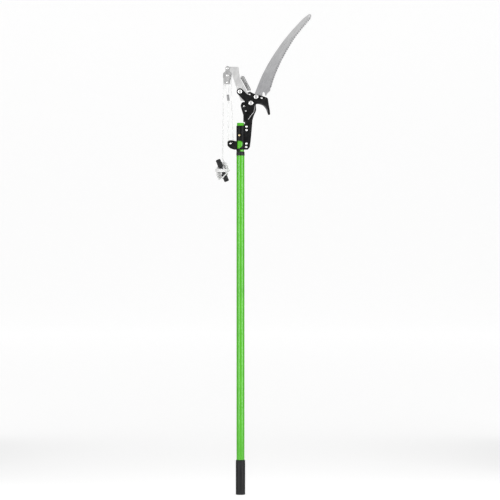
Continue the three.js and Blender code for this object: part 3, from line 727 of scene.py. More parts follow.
outer = turned("outer_section", [
    (12.8, 3.4), (14, 3.4), (14, 40), (14, 600), *groove(1118, 14, 0.35), (14, 1185.6),
    (13.6, 1186), (12.8, 1186), (12.8, 3.4)], upright=True, facets=96)
dress(outer, green_coat, "outer_pole", "green_enamel", "outer_tube")
inner = turned("inner_section", [
    (11.3, 100), (12.1, 100), (12.5, 100.4), (12.5, 700), (12.5, 1300), (12.2, 1300.5),
    (11.6, 1300.5), (11.3, 1300.2), (11.3, 100)], upright=True, facets=96)
dress(inner, green_coat, "head", "green_enamel", "inner_tube")
print("tubes", len(outer.data.polygons), "and", len(inner.data.polygons), "faces")

# %% [markdown]
# The black collar closes the mouth of the outer tube and guides the inner one. It has a flat band
# below, a fine groove and a tapered lip.

# %% Collar
collar = turned("mouth_collar", [
    (12.8, 1186.3), (14.2, 1186.3), (14.5, 1186.7), (14.5, 1195.6), (14.05, 1196.1),
    (14.05, 1196.9), (14.4, 1197.3), (14.2, 1198.8), (13.3, 1200), (12.95, 1200),
    (12.8, 1199.7), (12.8, 1186.3)], upright=True, facets=96)
dress(collar, grip_plastic, "outer_pole", "black_plastic", "top_collar")
print("collar", len(collar.data.polygons), "faces")

# %% [markdown]
# The twist lock sits inside the tubes where nothing shows it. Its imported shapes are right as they
# are, so they only take the same plastic and plated finishes as the parts that show.

# %% Twist lock finishes
def coat_node(name, material):
    held = nodes[name]
    if not held.material_slots:
        held.data.materials.append(material)
    for place in held.material_slots:
        place.material = material


for name, material in (("cam_plug", nylon), ("lock_ring", nylon), ("cam_screw", zinc_pin)):
    coat_node(name, material)
print("twist lock coated")

# %% [markdown]
# ## Plates
#
# Every plate of the head was cut from sheet, so its edge is crisp with a small break all round.
# A plate here is four rings of points: the back face, two rings along the edge, and the front face.
# Where an edge is ground sharp, the front ring is set further in and the bevel runs deeper.

# %% Plate outline
def rounded(corners, step=math.radians(7)):
    """Corners [x, z] or [x, z, radius] in millimetres as a closed ring with rounded corners."""
    ring = []
    for i, corner in enumerate(corners):
        here = Vector(corner[:2])
        if len(corner) == 2:
            ring.append(tuple(here))
            continue
        back = Vector(corners[i - 1][:2]) - here
        ahead = Vector(corners[(i + 1) % len(corners)][:2]) - here
        room = 0.49 * min(back.length, ahead.length)
        back.normalize()
        ahead.normalize()
        half = math.acos(max(-1.0, min(1.0, back.dot(ahead)))) / 2
        reach = min(corner[2] / math.tan(half), room)
        centre = here + (back + ahead).normalized() * (reach / math.cos(half))
        arm = here + back * reach - centre
        turn = (math.pi - 2 * half) * (-1 if back.x * ahead.y - back.y * ahead.x > 0 else 1)
        steps = max(1, math.ceil(abs(turn) / step))
        for k in range(steps + 1):
            c, q = math.cos(turn * k / steps), math.sin(turn * k / steps)
            ring.append((centre.x + c * arm.x - q * arm.y, centre.y + q * arm.x + c * arm.y))
    return ring


def hole(centre, radius, facets=32):
    return [(centre[0] + radius * math.cos(2 * math.pi * k / facets),
             centre[1] - radius * math.sin(2 * math.pi * k / facets)) for k in range(facets)]


def dense(ring, longest=2.0):
    """The same ring with no side longer than that."""
    out = []
    for a, b in zip(ring, ring[1:] + ring[:1]):
        count = max(1, math.ceil(math.dist(a, b) / longest))
        out += [(a[0] + (b[0] - a[0]) * k / count, a[1] + (b[1] - a[1]) * k / count)
                for k in range(count)]
    return out


print("outline helper ready")

# %% [markdown]
# To set a bevel in from an outline, each of its points moves towards the inside along the mean of
# its two sides' normals. That only works if the outline runs the right way round, so it is turned
# round where it doesn't.

# %% Inward normals
def inward(ring):
    p = np.array(ring)
    ahead = np.roll(p, -1, 0) - p
    ahead /= np.maximum(np.linalg.norm(ahead, axis=1), 1e-9)[:, None]
    left = np.stack([-ahead[:, 1], ahead[:, 0]], 1)
    both = left + np.roll(left, 1, 0)
    both /= np.maximum(np.linalg.norm(both, axis=1), 1e-9)[:, None]
    return both / np.maximum((both * left).sum(1), 0.4)[:, None]


def ccw(ring):
    """The ring, running counter-clockwise."""
    p = np.array(ring)
    q = np.roll(p, -1, 0)
    return list(ring) if (p[:, 0] * q[:, 1] - p[:, 1] * q[:, 0]).sum() > 0 else list(ring)[::-1]


print("normals helper ready")

# %% [markdown]
# The outline and every hole get the same four rings. The two flat faces are then filled in between
# the outline and the holes. Faces of a ground bevel take the piece's second material.

# %% Plate solid
def plate(name, ring, front, back, holes=(), edge=0.22, ground=None, ground_back=None, deep=0.6):
    """ground and ground_back give the width of the bevel, in millimetres, at each ring point."""
    rings = [(ccw(ring), ground, ground_back)] + [(ccw(h)[::-1], None, None) for h in holes]
    vertices, faces, bevels, fronts, backs = [], [], [], [], []
    for points, cut_front, cut_back in rings:
        flat = np.array(points)
        normals = inward(points)
        first = len(vertices)
        count = len(points)
        wide = [np.full(count, edge) if c is None else np.maximum(c, edge)
                for c in (cut_back, cut_front)]
        drop = [np.where(w > edge * 1.01, np.minimum(w, deep * (back - front)), edge) for w in wide]
        levels = [(back, wide[0]), (None, None), (None, None), (front, wide[1])]
        for level, (y, inset) in enumerate(levels):
            for k in range(count):
                x, z = flat[k] + (normals[k] * inset[k] if inset is not None else 0)
                depth = y if y is not None else (back - drop[0][k] if level == 1
                                                 else front + drop[1][k])
                vertices.append(mm(x, depth, z))
        for level in range(3):
            for k in range(count):
                n = (k + 1) % count
                a, b = first + level * count, first + (level + 1) * count
                faces.append((a + k, a + n, b + n, b + k))
                cut = wide[1] if level == 2 else wide[0]
                bevels.append(level != 1 and cut[k] > 2 * edge and cut[n] > 2 * edge)
        fronts.append(list(range(first + 3 * count, first + 4 * count)))
        backs.append(list(range(first, first + count)))
    for rims, flip in ((fronts, False), (backs, True)):
        flat_index = [i for rim in rims for i in rim]
        for a, b, c in tessellate_polygon([[vertices[i] for i in rim] for rim in rims]):
            faces.append(tuple(flat_index[i] for i in ((a, c, b) if flip else (a, b, c))))
            bevels.append(False)
    mesh = bpy.data.meshes.new(name)
    mesh.from_pydata([tuple(v) for v in vertices], [], faces)
    for face, bevel in zip(mesh.polygons, bevels):
        face.material_index = int(bevel)
    shape = bmesh.new()
    shape.from_mesh(mesh)
    bmesh.ops.recalc_face_normals(shape, faces=shape.faces)
    shape.to_mesh(mesh)
    shape.free()
    smoothed(mesh)
    return placed(name, mesh)


print("plate helper ready")

# %% [markdown]
# A ground edge is a bevel whose width changes along the outline: it rises from nothing, holds its
# full width and fades out again, so that the grinding starts and stops softly.

# %% Ground edge
def ground_width(ring, start, end, width, ramp=6.0):
    """Bevel widths along the ring from the point nearest start to the one nearest end."""
    p = np.array(ring)
    first = int(np.linalg.norm(p - start, axis=1).argmin())
    last = int(np.linalg.norm(p - end, axis=1).argmin())
    along = [(first + k) % len(p) for k in range((last - first) % len(p) + 1)]
    run = np.concatenate([[0], np.cumsum(np.linalg.norm(np.diff(p[along], axis=0), axis=1))])
    rise = np.clip(np.minimum(run, run[-1] - run) / ramp, 0, 1)
    widths = np.zeros(len(p))
    widths[along] = width * rise * rise * (3 - 2 * rise)
    return widths


print("ground edge helper ready")

# %% [markdown]
# ## Fixed jaw
#
# One thick plate does three jobs: its shank is held in the bracket, its middle is the eye of the
# shear's pivot, and its top ends in the hook that catches the branch. The hook's inner edge is
# ground to a slim bevel of dark hardened steel. A varying bevel width gives that edge its real
# geometry, so it catches light from any side.

# %% Jaw plate
PIVOT, SAW_BOLT, SPRING_STUD, SAW_RIVET = (36.6, 1370), (54.3, 1392), (31.5, 1400), (73.9, 1387.4)
RIVET_HOLE, STUD_HOLE, BOLT_HOLE, LEVER_HOLE = 2.9, 2.5, 4.3, 3.7
JAW_FACE, CHEEK_BACK = 1.6, 3.5
CHEEK_RIVETS = [(21, 1287.5), (21, 1275.3), (20.4, 1228), (20, 1216.3)]
LOBE_RIVETS = [(11.9, 1359.4), (18.6, 1342.3)]
BODY_RIGHT = [(26, 1207, 4), (33, 1216.5, 4), (36, 1240), (39.2, 1275), (42, 1310),
              (45.9, 1324, 8), (52, 1337.5, 8)]
LOBE_LEFT = [(16, 1374.5, 5), (4, 1372.5, 8), (0.2, 1360, 8), (4.4, 1345.5, 12),
             (9.8, 1328, 10), (9.8, 1303.5)]
jaw_ring = ccw(dense(rounded([
    (15, 1207), *BODY_RIGHT, (55, 1345, 10), (53.8, 1366.8, 3), (66, 1366, 20), (79, 1361.5, 18),
    (88.5, 1350, 30), (97.3, 1328, 2), (104.2, 1329.5, 3), (102.8, 1344, 30), (98.6, 1368, 30),
    (95.6, 1388.4, 8), (75, 1395.2, 60), (47, 1402.4, 60), (32, 1410.5, 8), (20.6, 1404, 7),
    (23.6, 1388, 10), (21, 1376, 6), *LOBE_LEFT, (15, 1303.5)])))
hook_bevel = ground_width(jaw_ring, (57, 1366.6), (96.2, 1331), 4.6, 14)
jaw_holes = [hole(c, RIVET_HOLE) for c in CHEEK_RIVETS + LOBE_RIVETS]
jaw_holes += [hole(c, BOLT_HOLE) for c in (PIVOT, SAW_BOLT)]
jaw_holes += [hole(c, STUD_HOLE) for c in (SPRING_STUD, SAW_RIVET)]
jaw = plate("fixed_jaw", jaw_ring, -JAW_FACE, JAW_FACE, jaw_holes, 0.28, hook_bevel)
jaw.data.materials.append(black_plate)
jaw.data.materials.append(hardened_edge)
dress(jaw, black_plate, "head", "black_enamel", "jaw_plate")
print("jaw", len(jaw.data.polygons), "faces")

# %% [markdown]
# ## Cutter
#
# The moving blade turns on the pivot in front of the fixed plate. Its belly carries the cutting
# edge, ground on the front face only, and it shows as a thin bright arc when the shear is open.

# %% Cutter blade
cutter_ring = ccw(dense(rounded([
    (53.7, 1369, 8), (50.2, 1352, 20), (48, 1338, 20), (38, 1327, 40), (26.2, 1309.5, 12),
    (22.6, 1305.5, 2), (21.6, 1318, 20), (24.4, 1342, 30), (20.4, 1362, 12), (20, 1384, 13),
    (45, 1388, 13)])))
blade_bevel = ground_width(cutter_ring, (25.5, 1308.6), (52.6, 1364), 1.5, 5)
cutter = plate("cutter", cutter_ring, -4.9, -2.1, [hole(PIVOT, BOLT_HOLE)], 0.22,
               blade_bevel)
cutter.data.materials.append(black_plate)
cutter.data.materials.append(ground_steel)
dress(cutter, black_plate, "cutter", "black_enamel", "cutter_blade")
print("cutter", len(cutter.data.polygons), "faces")

# %% [markdown]
# The link is a flat bar with two round ends. It lies over the cutter and bolts the long arm to
# it, so the arm's pull turns the cutter.

# %% Link
LEVER_BOLT = (-2.1, 1409.8)
link_way = (Vector(LEVER_BOLT) - Vector(PIVOT)).normalized()
link_side = Vector((-link_way.y, link_way.x))


def link_corner(end, reach, side, radius):
    at = Vector(end) + link_way * reach + link_side * side
    return (at.x, at.y, radius)


LINK_FRONT, LINK_BACK = -7.8, -5.2
link_ring = rounded([link_corner(LEVER_BOLT, 11, side, 10.9) for side in (11.2, -11.2)]
                    + [link_corner(PIVOT, -12.8, side, 12.4) for side in (-12.8, 12.8)])
link = plate("link_bar", link_ring, LINK_FRONT, LINK_BACK,
             [hole(PIVOT, BOLT_HOLE), hole(LEVER_BOLT, LEVER_HOLE)], 0.35)
dress(link, black_plate, "cutter", "black_enamel", "link_plate")
print("link", len(link.data.polygons), "faces")

# %% [markdown]
# ## Saw blade
#
# The blade's back and its toothed edge are two long curves, from its foot in the jaw plate to its
# tip. The teeth are set out along the edge by their share of its length.

# %% Back and edge of the saw
spine = through([(53.9, 0, 1414), (75.3, 0, 1466.5), (109, 0, 1528), (158, 0, 1598),
                 (212.8, 0, 1659.5), (236.6, 0, 1679.6)], 6)[:, [0, 2]]
edge_line = through([(105, 0, 1423), (121, 0, 1471), (147, 0, 1528), (190, 0, 1600),
                     (244.6, 0, 1667)], 1.5)[:, [0, 2]]
edge_run = np.concatenate([[0], np.cumsum(np.linalg.norm(np.diff(edge_line, axis=0), axis=1))])
TOOTH_PITCH, TOOTH_DEPTH = 4.2, 3.1


def on_edge(share):
    """A point on the edge and the direction away from the blade there."""
    at = share * edge_run[-1]
    point = np.array([np.interp(at, edge_run, edge_line[:, k]) for k in (0, 1)])
    near = np.array([np.interp(at + 0.5, edge_run, edge_line[:, k]) for k in (0, 1)])
    back = np.array([np.interp(at - 0.5, edge_run, edge_line[:, k]) for k in (0, 1)])
    way = (near - back) / np.linalg.norm(near - back)
    return point, np.array([way[1], -way[0]])


def quadratic(a, b, c, steps=8):
    t = np.linspace(0, 1, steps + 1)[1:, None]
    return [tuple(p) for p in (1 - t) ** 2 * np.array(a) + 2 * t * (1 - t) * np.array(b)
            + t**2 * np.array(c)]


teeth = round(edge_run[-1] / TOOTH_PITCH)
print("edge", round(edge_run[-1]), "mm long for", teeth, "teeth")

# %% [markdown]
# The teeth all lean towards the pole, because the saw cuts on the pull, and each is ground from
# one side or the other in turn. The bevel widths alternate from tooth to tooth to give exactly
# that. A small hole near the tip hangs the blade up.

# %% Saw blade
TIP_HOLE, TIP_HOLE_RADIUS = (240.4, 1674.4), 1.8
GROUND, UNGROUND = [2.6, 3.6, 3.4, 2.2], [0.12, 0.12, 0.12, 0.2]
saw_ring = [(76, 1382.4), (51, 1382.4), *quadratic((51, 1382.4), (43.4, 1384.4), (45, 1391))]
saw_ring += [tuple(p) for p in spine]
saw_ring += quadratic(saw_ring[-1], (244.4, 1685.4), (247.4, 1678.6))
saw_ring += quadratic(saw_ring[-1], (249.4, 1672.4), tuple(on_edge(1)[0]))
grinds = [[0.0] * len(saw_ring), [0.0] * len(saw_ring)]
for i in range(teeth, 0, -1):
    tip, out = on_edge((i - 0.62) / teeth)
    flank, _ = on_edge((i - 0.30) / teeth)
    root, _ = on_edge((i - 1) / teeth)
    saw_ring += [tuple(flank + out * 0.9), tuple(tip + out * TOOTH_DEPTH),
                 tuple((root + tip) / 2 + out * 1.1), tuple(root + out * 0.1)]
    grinds[i % 2] += GROUND
    grinds[1 - i % 2] += UNGROUND
heel = [(104.4, 1413.4), (92.4, 1402), (90.6, 1396.4), (86.4, 1396.4), (85.2, 1404.4),
        *quadratic((85.2, 1404.4), (81, 1413), (77, 1404.4)), (77, 1384)]
saw_ring += heel
grinds = [np.array(g + [0.0] * len(heel)) for g in grinds]
if ccw(saw_ring) != saw_ring:
    saw_ring = saw_ring[::-1]
    grinds = [g[::-1] for g in grinds]
saw_holes = [hole(SAW_BOLT, BOLT_HOLE), hole(SAW_RIVET, STUD_HOLE), hole(TIP_HOLE, TIP_HOLE_RADIUS)]
saw = plate("saw_blade_ground", saw_ring, 1.9, 3.2, saw_holes, 0.1, grinds[0], grinds[1], 0.45)
saw.data.materials.append(saw_steel)
saw.data.materials.append(hardened_edge)
dress(saw, saw_steel, "head", "saw_steel", "saw_blade")
print(teeth, "teeth,", len(saw.data.polygons), "faces")

# %% [markdown]
# ## Pressed pieces
#
# A piece that a press bent from one sheet is easiest to make the way the press made it, by joining
# flat shapes to a rolled one and cutting the windows out of the sum. A narrow bevel at the end
# breaks the cut edges.

# %% Solid tools
def cut(base, others, operation="DIFFERENCE"):
    """The base without the others, or joined to them, as one solid."""
    for other in others:
        step = base.modifiers.new("solid", "BOOLEAN")
        step.operation, step.solver, step.object = operation, "EXACT", other
    solid = bpy.data.meshes.new_from_object(
        base.evaluated_get(bpy.context.evaluated_depsgraph_get()))
    base.modifiers.clear()
    base.data = solid
    for other in others:
        bpy.data.objects.remove(other)
    return base


def broken_edges(piece, width):
    """Flat faces are cleaned up and every crisp edge gets a narrow bevel."""
    shape = bmesh.new()
    shape.from_mesh(piece.data)
    bmesh.ops.remove_doubles(shape, verts=shape.verts, dist=1e-5)
    bmesh.ops.dissolve_limit(shape, angle_limit=math.radians(1.5), verts=shape.verts,
                             edges=shape.edges)
    shape.to_mesh(piece.data)
    shape.free()
    step = piece.modifiers.new("break", "BEVEL")
    step.width, step.segments, step.limit_method = width * MM, 2, "ANGLE"
    step.angle_limit, step.use_clamp_overlap = math.radians(50), True
    piece.data = bpy.data.meshes.new_from_object(
        piece.evaluated_get(bpy.context.evaluated_depsgraph_get()))
    piece.modifiers.clear()
    smoothed(piece.data)


def block_of(name, low, high):
    (x0, y0, z0), (x1, y1, z1) = low, high
    ring = [(x0, z0), (x1, z0), (x1, z1), (x0, z1)]
    return plate(name, ring, y0, y1, edge=0.01)


print("solid tools ready")

# %% [markdown]
# ## Clamp bracket
#
# The bracket wraps the inner tube, leaves a slot at the right where the jaw plate goes in, and
# carries two cheeks and a pair of ears for the lower pulley.

# %% Clamp bracket
def holed(ring, centres, front, back):
    return plate("sheet", ring, front, back, [hole(c, r) for c, r in centres], edge=0.01)


CHEEK_FACE = 1.9
rivet_holes = [(c, RIVET_HOLE) for c in CHEEK_RIVETS]
bracket = turned("bracket", [(12.75, 1200.5), (14.4, 1200.5), (14.4, 1290), (12.75, 1290),
                             (12.75, 1200.5)], upright=True, facets=96)
front_sheet = holed(rounded([(12, 1207), *BODY_RIGHT[:4], (40.6, 1293.5, 2), (12, 1297.5, 3)]),
                    rivet_holes, -CHEEK_BACK, -CHEEK_FACE)
rear_sheet = holed(rounded([
    (12, 1207), *BODY_RIGHT, (52.6, 1356, 8), (50.6, 1383.2, 13), (22.4, 1383.2, 13), *LOBE_LEFT,
    (15, 1303.5), (15, 1290.3), (12, 1290.3)]),
    rivet_holes + [(c, RIVET_HOLE) for c in LOBE_RIVETS] + [(PIVOT, BOLT_HOLE)],
    CHEEK_FACE, CHEEK_BACK)
EAR_AXLE = (-34.5, 1228.5)
ear_ring = rounded([(-12, 1236), (-33.5, 1240.1, 6), (-45.9, 1237.5, 9), (-45.5, 1220.5, 8),
                    (-35.5, 1211.5, 10), (-22, 1207, 8), (-12, 1207)])
ears = [holed(ear_ring, [(EAR_AXLE, RIVET_HOLE)], front, back)
        for front, back in ((-6.1, -4.5), (4.5, 6.1))]
window_ring = rounded([(-12.3, 1237.2), (2, 1237.2, 5), (8.8, 1232, 6), (7, 1219, 9),
                       (-3, 1211, 9), (-12.3, 1209.6)])
openings = [block_of("mouth", (0, -CHEEK_FACE, 1200), (28.8, CHEEK_FACE, 1294)),
            block_of("skirt", (-1.75, -20, 1199), (20, 20, 1207)),
            *(plate("window", window_ring, front, back, edge=0.01)
              for front, back in ((-15.4, -6.6), (6.6, 15.4)))]
cut(bracket, openings)
cut(bracket, [front_sheet, rear_sheet, *ears], "UNION")
cut(bracket, [turned("inside", [(0, 1199), (12.8, 1199), (12.8, 1302), (0, 1302)], upright=True,
                     facets=96)])
broken_edges(bracket, 0.3)
dress(bracket, black_bracket, "head", "black_enamel", "clamp_bracket")
print("bracket", len(bracket.data.polygons), "faces, size",
      [round(1000 * d, 1) for d in bracket.dimensions])

# %% [markdown]
# ## Lever arm
#
# A long pressed arm of plated sheet. Its right edge is folded back to stiffen it, its foot is
# bolted to the link, and its top carries a short bushing that the pulley block swings on.

# %% Lever arm
ARM_TIP, BLOCK_AXLE, BECKET = (-45.5, 1491.4), (-46, 1466.2), (-46.6, 1442.5)
web_ring = ccw(dense(rounded([
    (-51.5, 1497, 5.4), (-7, 1496.6, 4), (-5, 1484, 5), (-2.4, 1459, 12), (26.4, 1403, 3),
    (23.5, 1391, 4), (17, 1377.6, 3), (0.6, 1377.6, 2.5), (-31.6, 1475, 8),
    (-50.7, 1484.4, 5.4)]), 4))
bend = ground_width(web_ring, (25.6, 1404.5), (-2.9, 1460), 0.8, 3)
web = plate("web", web_ring, -4.9, -3.3, [hole(LEVER_BOLT, LEVER_HOLE)], 0.25, bend)
fold = plate("fold", [(-2.1, 1458.3), (24.1, 1407.6), (22.7, 1406.9), (-3.5, 1457.6)], -4.2, 2.6,
             edge=0.3)
boss = turned("boss", [(3.3, -6.1), (4.7, -6.1), (5, -5.8), (5, 5.8), (4.7, 6.1), (3.3, 6.1),
                       (3.3, -6.1)], ARM_TIP)
arm_piece = join("arm", [web, fold, boss])
for face in arm_piece.data.polygons:
    face.material_index = 0
dress(arm_piece, zinc_sheet, "cutter", "zinc", "lever_arm")
print("arm", len(arm_piece.data.polygons), "faces")

# %% [markdown]
# ## Fasteners
#
# Rivet heads are domes pressed from the shank, and the far end is spread over the last plate. The
# two rivets under the cutter are flush in front, so that it can pass over them.

# %% Rivets
def rivet(name, centre, front, back, head=4.0, dome=1.6, tail=1.2, shank=2.6):
    low, high = front - 0.3, back + 0.3
    bow = [(head * math.sin(a), low - dome * (math.cos(a) - 0.12) / 0.88 if a < 1.45 else low)
           for a in np.linspace(0, math.pi / 2, 9)]
    spread = [(head * 0.9, high), (head * 0.92, high + tail * 0.3),
              (head * 0.8, high + tail * 0.75), (head * 0.45, high + tail), (0, high + tail)]
    profile = bow + [(head, low), (shank, low), (shank, high)] + spread
    return turned(name, [(float(r), float(y)) for r, y in profile], centre, facets=40)


riveted = [(f"cheek_rivet_{i + 1}", c, -CHEEK_BACK, CHEEK_BACK, {})
           for i, c in enumerate(CHEEK_RIVETS)]
riveted += [(f"lobe_rivet_{i + 1}", c, -1.3, CHEEK_BACK, {"head": 2.6, "dome": 0.25})
            for i, c in enumerate(LOBE_RIVETS)]
riveted += [("spring_stud", SPRING_STUD, -JAW_FACE, 7.0, {"head": 3.1, "dome": 1.2, "shank": 2.2}),
            ("saw_rivet", SAW_RIVET, -JAW_FACE, 3.2, {"head": 3.3, "dome": 1.2, "shank": 2.2})]
for node, centre, front, back, sizes in riveted:
    dress(rivet("made_" + node, centre, front, back, **sizes), zinc_pin, "head", "zinc", node)
print(len(riveted), "rivets")

# %% [markdown]
# Bolts have a flange under a hexagon whose corners are turned off by a shallow cone, and that cut
# leaves the curved scallops seen on any real bolt head.

# %% Hexagon
def hexagon(name, centre, flats, front, back, bore=0.0, both=True, facets=60):
    """A hexagon along Y with its corners turned off by a 30 degree cone."""
    rim = flats / 2 * 0.985
    vertices, rows = [], []
    for k in range(facets):
        angle = 2 * math.pi * k / facets
        corner = flats / 2 / math.cos((angle - math.pi / 2) % (math.pi / 3) - math.pi / 6)
        fall = max(0.0, corner - rim) / math.sqrt(3)
        rows.append([(bore, front), (rim, front), (corner, front + fall),
                     (corner, back - (fall if both else 0)), (rim, back), (bore, back)])
    for level in range(6):
        for k, row in enumerate(rows):
            angle = 2 * math.pi * k / facets
            radius, along = row[level]
            vertices.append(mm(centre[0] + radius * math.cos(angle), along,
                               centre[1] + radius * math.sin(angle)))
    faces = grid_faces(6, facets)
    faces += [((5 * facets + k), (5 * facets + (k + 1) % facets), (k + 1) % facets, k)
              for k in range(facets)] if bore else []
    return finished(name, vertices, faces, 25)


print("hexagon helper ready")

# %% [markdown]
# The thread is a true helix on the end of the shank. It runs out softly at both of its ends.

# %% Thread
def threaded(name, centre, radius, start, end, pitch=1.25, facets=28):
    rows = max(2, int((end - start) / pitch * 8))
    vertices = []
    for row in range(rows + 1):
        y = start + (end - start) * row / rows
        lead = min(1.0, (y - start) / pitch, (end - y) / (0.6 * pitch))
        for k in range(facets):
            angle = 2 * math.pi * k / facets
            wave = 0.5 - 0.5 * math.cos(2 * math.pi * y / pitch - angle)
            r = radius - 0.36 * wave * max(0.0, lead) - (0.45 if y > end - 0.02 else 0)
            vertices.append(mm(centre[0] + r * math.cos(angle), y, centre[1] + r * math.sin(angle)))
    faces = grid_faces(rows + 1, facets)
    faces += [tuple(range(facets)), tuple(range(rows * facets, (rows + 1) * facets))]
    return finished(name, vertices, faces, 60)


print("thread helper ready")

# %% [markdown]
# A bolt is its flange, hexagon, plain shank and thread in one piece. A nut is a hexagon with a
# bore. Each sits a little off its plate, where a washer face would be.

# %% Bolts and nuts
def bolt(name, centre, front, end, shank, flange, flats, thread):
    seat = front - 0.3
    skirt = turned("skirt", [(0, seat - 1.7), (flats / 2, seat - 1.7), (flange - 0.9, seat - 1.15),
                             (flange - 0.2, seat - 0.8), (flange, seat - 0.4), (flange, seat - 0.1),
                             (flange - 0.15, seat), (0, seat)], centre, facets=60)
    head = hexagon("head", centre, flats, seat - 5, seat - 1.2, both=False)
    dish = turned("plain", [(0, seat - 0.5), (shank, seat - 0.5), (shank, thread), (0, thread)],
                  centre, facets=28)
    return join(name, [skirt, head, dish, threaded("thread", centre, shank, thread - 0.01, end)])


def nut(name, centre, back, flats, height, bore):
    seat = back + 0.3
    return hexagon(name, centre, flats, seat, seat + height, bore + 0.3)


pivot_bolt = bolt("made_pivot_bolt", PIVOT, LINK_FRONT, 11.7, 4, 7.5, 10, 3.6)
lever_bolt = bolt("made_lever_bolt", LEVER_BOLT, LINK_FRONT, 2.2, 3.4, 7, 9, -3.2)
saw_bolt = bolt("made_saw_bolt", SAW_BOLT, -JAW_FACE, 11.4, 4, 7.4, 10, 3.3)
dress(pivot_bolt, zinc_pin, "head", "zinc", "pivot_bolt")
dress(saw_bolt, zinc_pin, "head", "zinc", "saw_bolt")
dress(lever_bolt, zinc_pin, "cutter", "zinc", "lever_bolt")
dress(nut("made_pivot_nut", PIVOT, CHEEK_BACK, 13, 6, 4), zinc_pin, "head", "zinc", "pivot_nut")
dress(nut("made_saw_nut", SAW_BOLT, 3.2, 13, 6, 4), zinc_pin, "head", "zinc", "saw_nut")
dress(nut("made_lever_nut", LEVER_BOLT, -3.3, 10, 4.6, 3.4), zinc_pin, "cutter", "zinc",
      "lever_nut")
print("bolts and nuts")

# %% [markdown]
# The screw that holds the bracket on the tube is brass, with a domed head and a cross recess.

# %% Tube screw
SCREW = (-4.2, 1257)
head = turned("screw", [(0, -16.5), (1.2, -16.45), (2.2, -16.2), (3, -15.7), (3.4, -15.1),
                        (3.5, -14.6), (3.4, -14.5), (2.2, -14.5), (2.2, -8.1), (0, -8.1)],
              SCREW, facets=48)
slots = [block_of("slot", (SCREW[0] - wide, -17.2, SCREW[1] - tall),
                  (SCREW[0] + wide, -15.7, SCREW[1] + tall))
         for wide, tall in ((1.7, 0.35), (0.35, 1.7))]
screw = cut(head, slots)
smoothed(screw.data)
dress(screw, brass_metal, "head", "brass", "tube_screw")
print("screw", len(screw.data.polygons), "faces")

# %% [markdown]
# ## Return spring
#
# A close-wound extension spring opens the shear again when the cord is let go. It is one wire:
# a loop round the stud on the jaw plate, the coils, and a hook through the hole in the arm. When
# the cutter swings, its lower end stays on the stud and its upper end goes with the arm.

# %% Return spring
coil_foot, coil_top = np.array((31.0, 1.2, 1415.2)), np.array((6.4, 1.2, 1461.4))
COIL_RADIUS, WIRE, TURNS = 5.9, 0.9, 26
coil_way = (coil_top - coil_foot) / np.linalg.norm(coil_top - coil_foot)
coil_side = np.array((coil_way[2], 0, -coil_way[0]))
coil_out = np.array((0, 1.0, 0))


def coil(t):
    angle = 2 * math.pi * TURNS * t + 0.6
    return (coil_foot + (coil_top - coil_foot) * t
            + COIL_RADIUS * (math.cos(angle) * coil_side + math.sin(angle) * coil_out))


STUD_LOOP = 3.6
loop = [(SPRING_STUD[0] + STUD_LOOP * math.cos(math.radians(a)), 4.4,
         SPRING_STUD[1] + STUD_LOOP * math.sin(math.radians(a))) for a in range(-235, 21, 24)]
lower_end = through([*loop, (34.6, 3.8, 1406.8), (33.6, 2.6, 1411.6), tuple(coil(0.0)),
                     tuple(coil(0.006)), tuple(coil(0.012))], 0.8)
turns = np.array([coil(t) for t in np.linspace(0.013, 0.987, TURNS * 18)])
upper_end = through([tuple(coil(0.988)), tuple(coil(0.994)), tuple(coil(1.0)), (5.6, 1.1, 1464),
                     (3.4, 0.8, 1464.4), (2, 0.4, 1462), (1.2, -0.1, 1457.6), (-0.96, -0.4, 1454.4),
                     (-3, -0.4, 1453.3), (-4.6, -0.4, 1452.5)], 0.8)
wire_line = np.concatenate([lower_end, turns, upper_end])
keep = [0]
for i in range(1, len(wire_line)):
    if np.linalg.norm(wire_line[i] - wire_line[keep[-1]]) > 0.3:
        keep.append(i)
spring = tube("coil_spring", wire_line[keep], WIRE, 8)
dress(spring, spring_wire, None, "spring_steel", "return_spring", "spring_hook")
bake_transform(spring)
print("spring", len(spring.data.polygons), "faces")

# %% [markdown]
# ## Pulley block
#
# Two pressed cheeks, waisted between the arm's bushing and the pulley, with three pins through
# them. The middle one is the pulley's axle, and the lowest one holds the loop at the end of the
# tackle cord.

# %% Block
def cheek_ring(right):
    return rounded([
        (-52.1, 1499.4, 6.4), (-38.9, 1499.4, 6.4), (-39, 1481, 5), (right + 1.8, 1474, 5),
        (right, 1466, 8), (right + 1.6, 1457.5, 5), (right - 4, 1452, 4), (right - 4, 1436.6, 2),
        (-57.4, 1436.6, 2), (-58, 1453, 4), (-61.4, 1459, 5), (-61, 1474, 5), (-53, 1481, 5)])


for node, right, front, back in (("block_front_cheek", -34.6, -7.6, -6.4),
                                 ("block_back_cheek", -32.4, 6.4, 7.6)):
    holes = [hole(BLOCK_AXLE, RIVET_HOLE), hole(BECKET, STUD_HOLE), hole(ARM_TIP, 3.3)]
    cheek = plate("made_" + node, cheek_ring(right), front, back, holes, 0.22)
    dress(cheek, zinc_block, "block", "zinc", node)
for node, centre, shank, head in (("block_axle", BLOCK_AXLE, 2.6, 3.8),
                                  ("block_pin", ARM_TIP, 3, 4.2), ("becket_pin", BECKET, 2.2, 3)):
    pin = rivet("made_" + node, centre, -7.6, 7.6, head=head, dome=1, tail=1, shank=shank)
    dress(pin, zinc_pin, "block", "zinc", node)
dress(rivet("made_ear_axle", EAR_AXLE, -6.1, 6.1, head=3.4, dome=1.1), zinc_pin, "head", "zinc",
      "ear_axle")
print("block made")

# %% [markdown]
# The pulleys are turned from grey nylon. The groove is a half round that fits the cord, and the
# rims are rounded so they don't cut it. Shallow dishes in both faces save material.

